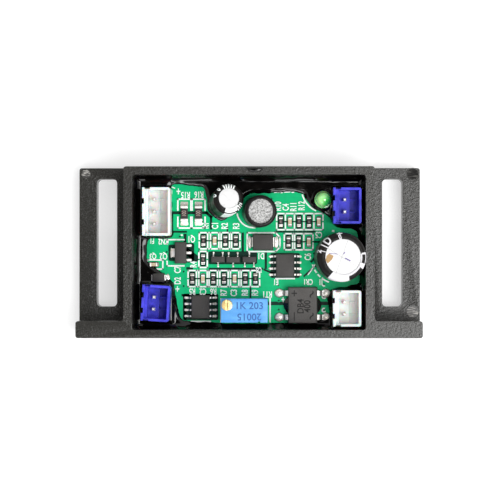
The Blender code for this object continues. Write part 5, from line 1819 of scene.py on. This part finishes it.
def paint_kept_nodes():
    """Gives the CAD nodes that stay their materials."""
    painted = {
        "circuit_board": MASK,
        "inductor_winding": copper_wire(),
        "trimmer_base": mottled(
            "trimmer_base", (0.02, 0.09, 0.24), (0.04, 0.14, 0.34), 0.2, 0.45, 0.15, 0.015
        ),
        "trimmer_wheel": mottled(
            "trimmer_wheel", (0.6, 0.58, 0.52), (0.78, 0.77, 0.72), 0.2, 0.45, 0.15, 0.015
        ),
    }
    for name, node in frame["nodes"].items():
        if "_pin_" in name:
            painted[name] = PIN
        if name in painted:
            node.data.materials.clear()
            node.data.materials.append(painted[name])


# ---------------------------------------------------------------- stage


def area_light(name, place, size, power):
    """A white rectangular light that faces the part."""
    lamp_data = bpy.data.lights.new(name, "AREA")
    lamp_data.shape = "RECTANGLE"
    lamp_data.size, lamp_data.size_y = size
    lamp_data.energy = power
    made = linked(bpy.data.objects.new(name, lamp_data))
    made.location = place
    made.rotation_euler = (Vector(LIGHT_AIM) - Vector(place)).to_track_quat("-Z", "Y").to_euler()


def studio_world():
    """Soft light from all sides that fades out straight overhead."""
    world = bpy.data.worlds.new("studio")
    world.use_nodes = True
    tree = Tree(world.node_tree)
    direction = tree.add("ShaderNodeTexCoord", output="Generated")
    height = tree.add("ShaderNodeSeparateXYZ", None, {"Vector": direction}, "Z")
    glow = tree.add("ShaderNodeValToRGB", {"stops": SKY_STOPS}, {"Fac": height})
    sky = world.node_tree.nodes["Background"]
    world.node_tree.links.new(glow.socket, sky.inputs["Color"])
    sky.inputs["Strength"].default_value = WORLD_STRENGTH
    bpy.context.scene.world = world


def stage():
    """Floor, lights, world and camera."""
    bm = bmesh.new()
    corners = ((-1, -1), (1, -1), (1, 1), (-1, 1))
    bm.faces.new([bm.verts.new((x * FLOOR_HALF, y * FLOOR_HALF, FLOOR_Z)) for x, y in corners])
    floor = linked(bpy.data.objects.new("floor", mesh_of(bm)))
    floor.data.materials.append(pale_floor())
    for name, place, size, power in LIGHTS:
        area_light(name, place, size, power)
    studio_world()
    bpy.context.scene.view_settings.view_transform = "Standard"

    camera_data = bpy.data.cameras.new("camera")
    camera_data.lens = LENS
    camera_data.sensor_width = SENSOR
    camera_data.clip_start = 0.01
    camera = linked(bpy.data.objects.new("camera", camera_data))
    camera.location = CAMERA_PLACE
    back = (camera.location - Vector(CAMERA_AIM)).normalized()
    right = Vector((0, 1, 0)).cross(back).normalized()
    camera.rotation_euler = Matrix((right, back.cross(right), back)).transposed().to_euler()
    bpy.context.scene.camera = camera


stage()
case_shell()
ejector_marks()
rim_drip()
potting()
dark_pours()
chip_solder()
via_rings()
legend_lines()
legend_words()
small_chips()
resistor_codes()
so8_chips()
transistors()
regulator()
diode("power_diode", mm(4.3, 3.4), reach=2.7 * MM, lead_width=2.0 * MM, draft=0.35 * MM)
diode("reverse_diode", mm(2.6, 1.9), reach=1.8 * MM, lead_width=1.2 * MM, draft=0.25 * MM)
bridge()
sockets()
lamp()
small_capacitor()
big_capacitor()
inductor()
trimmer()
adjuster()
paint_kept_nodes()
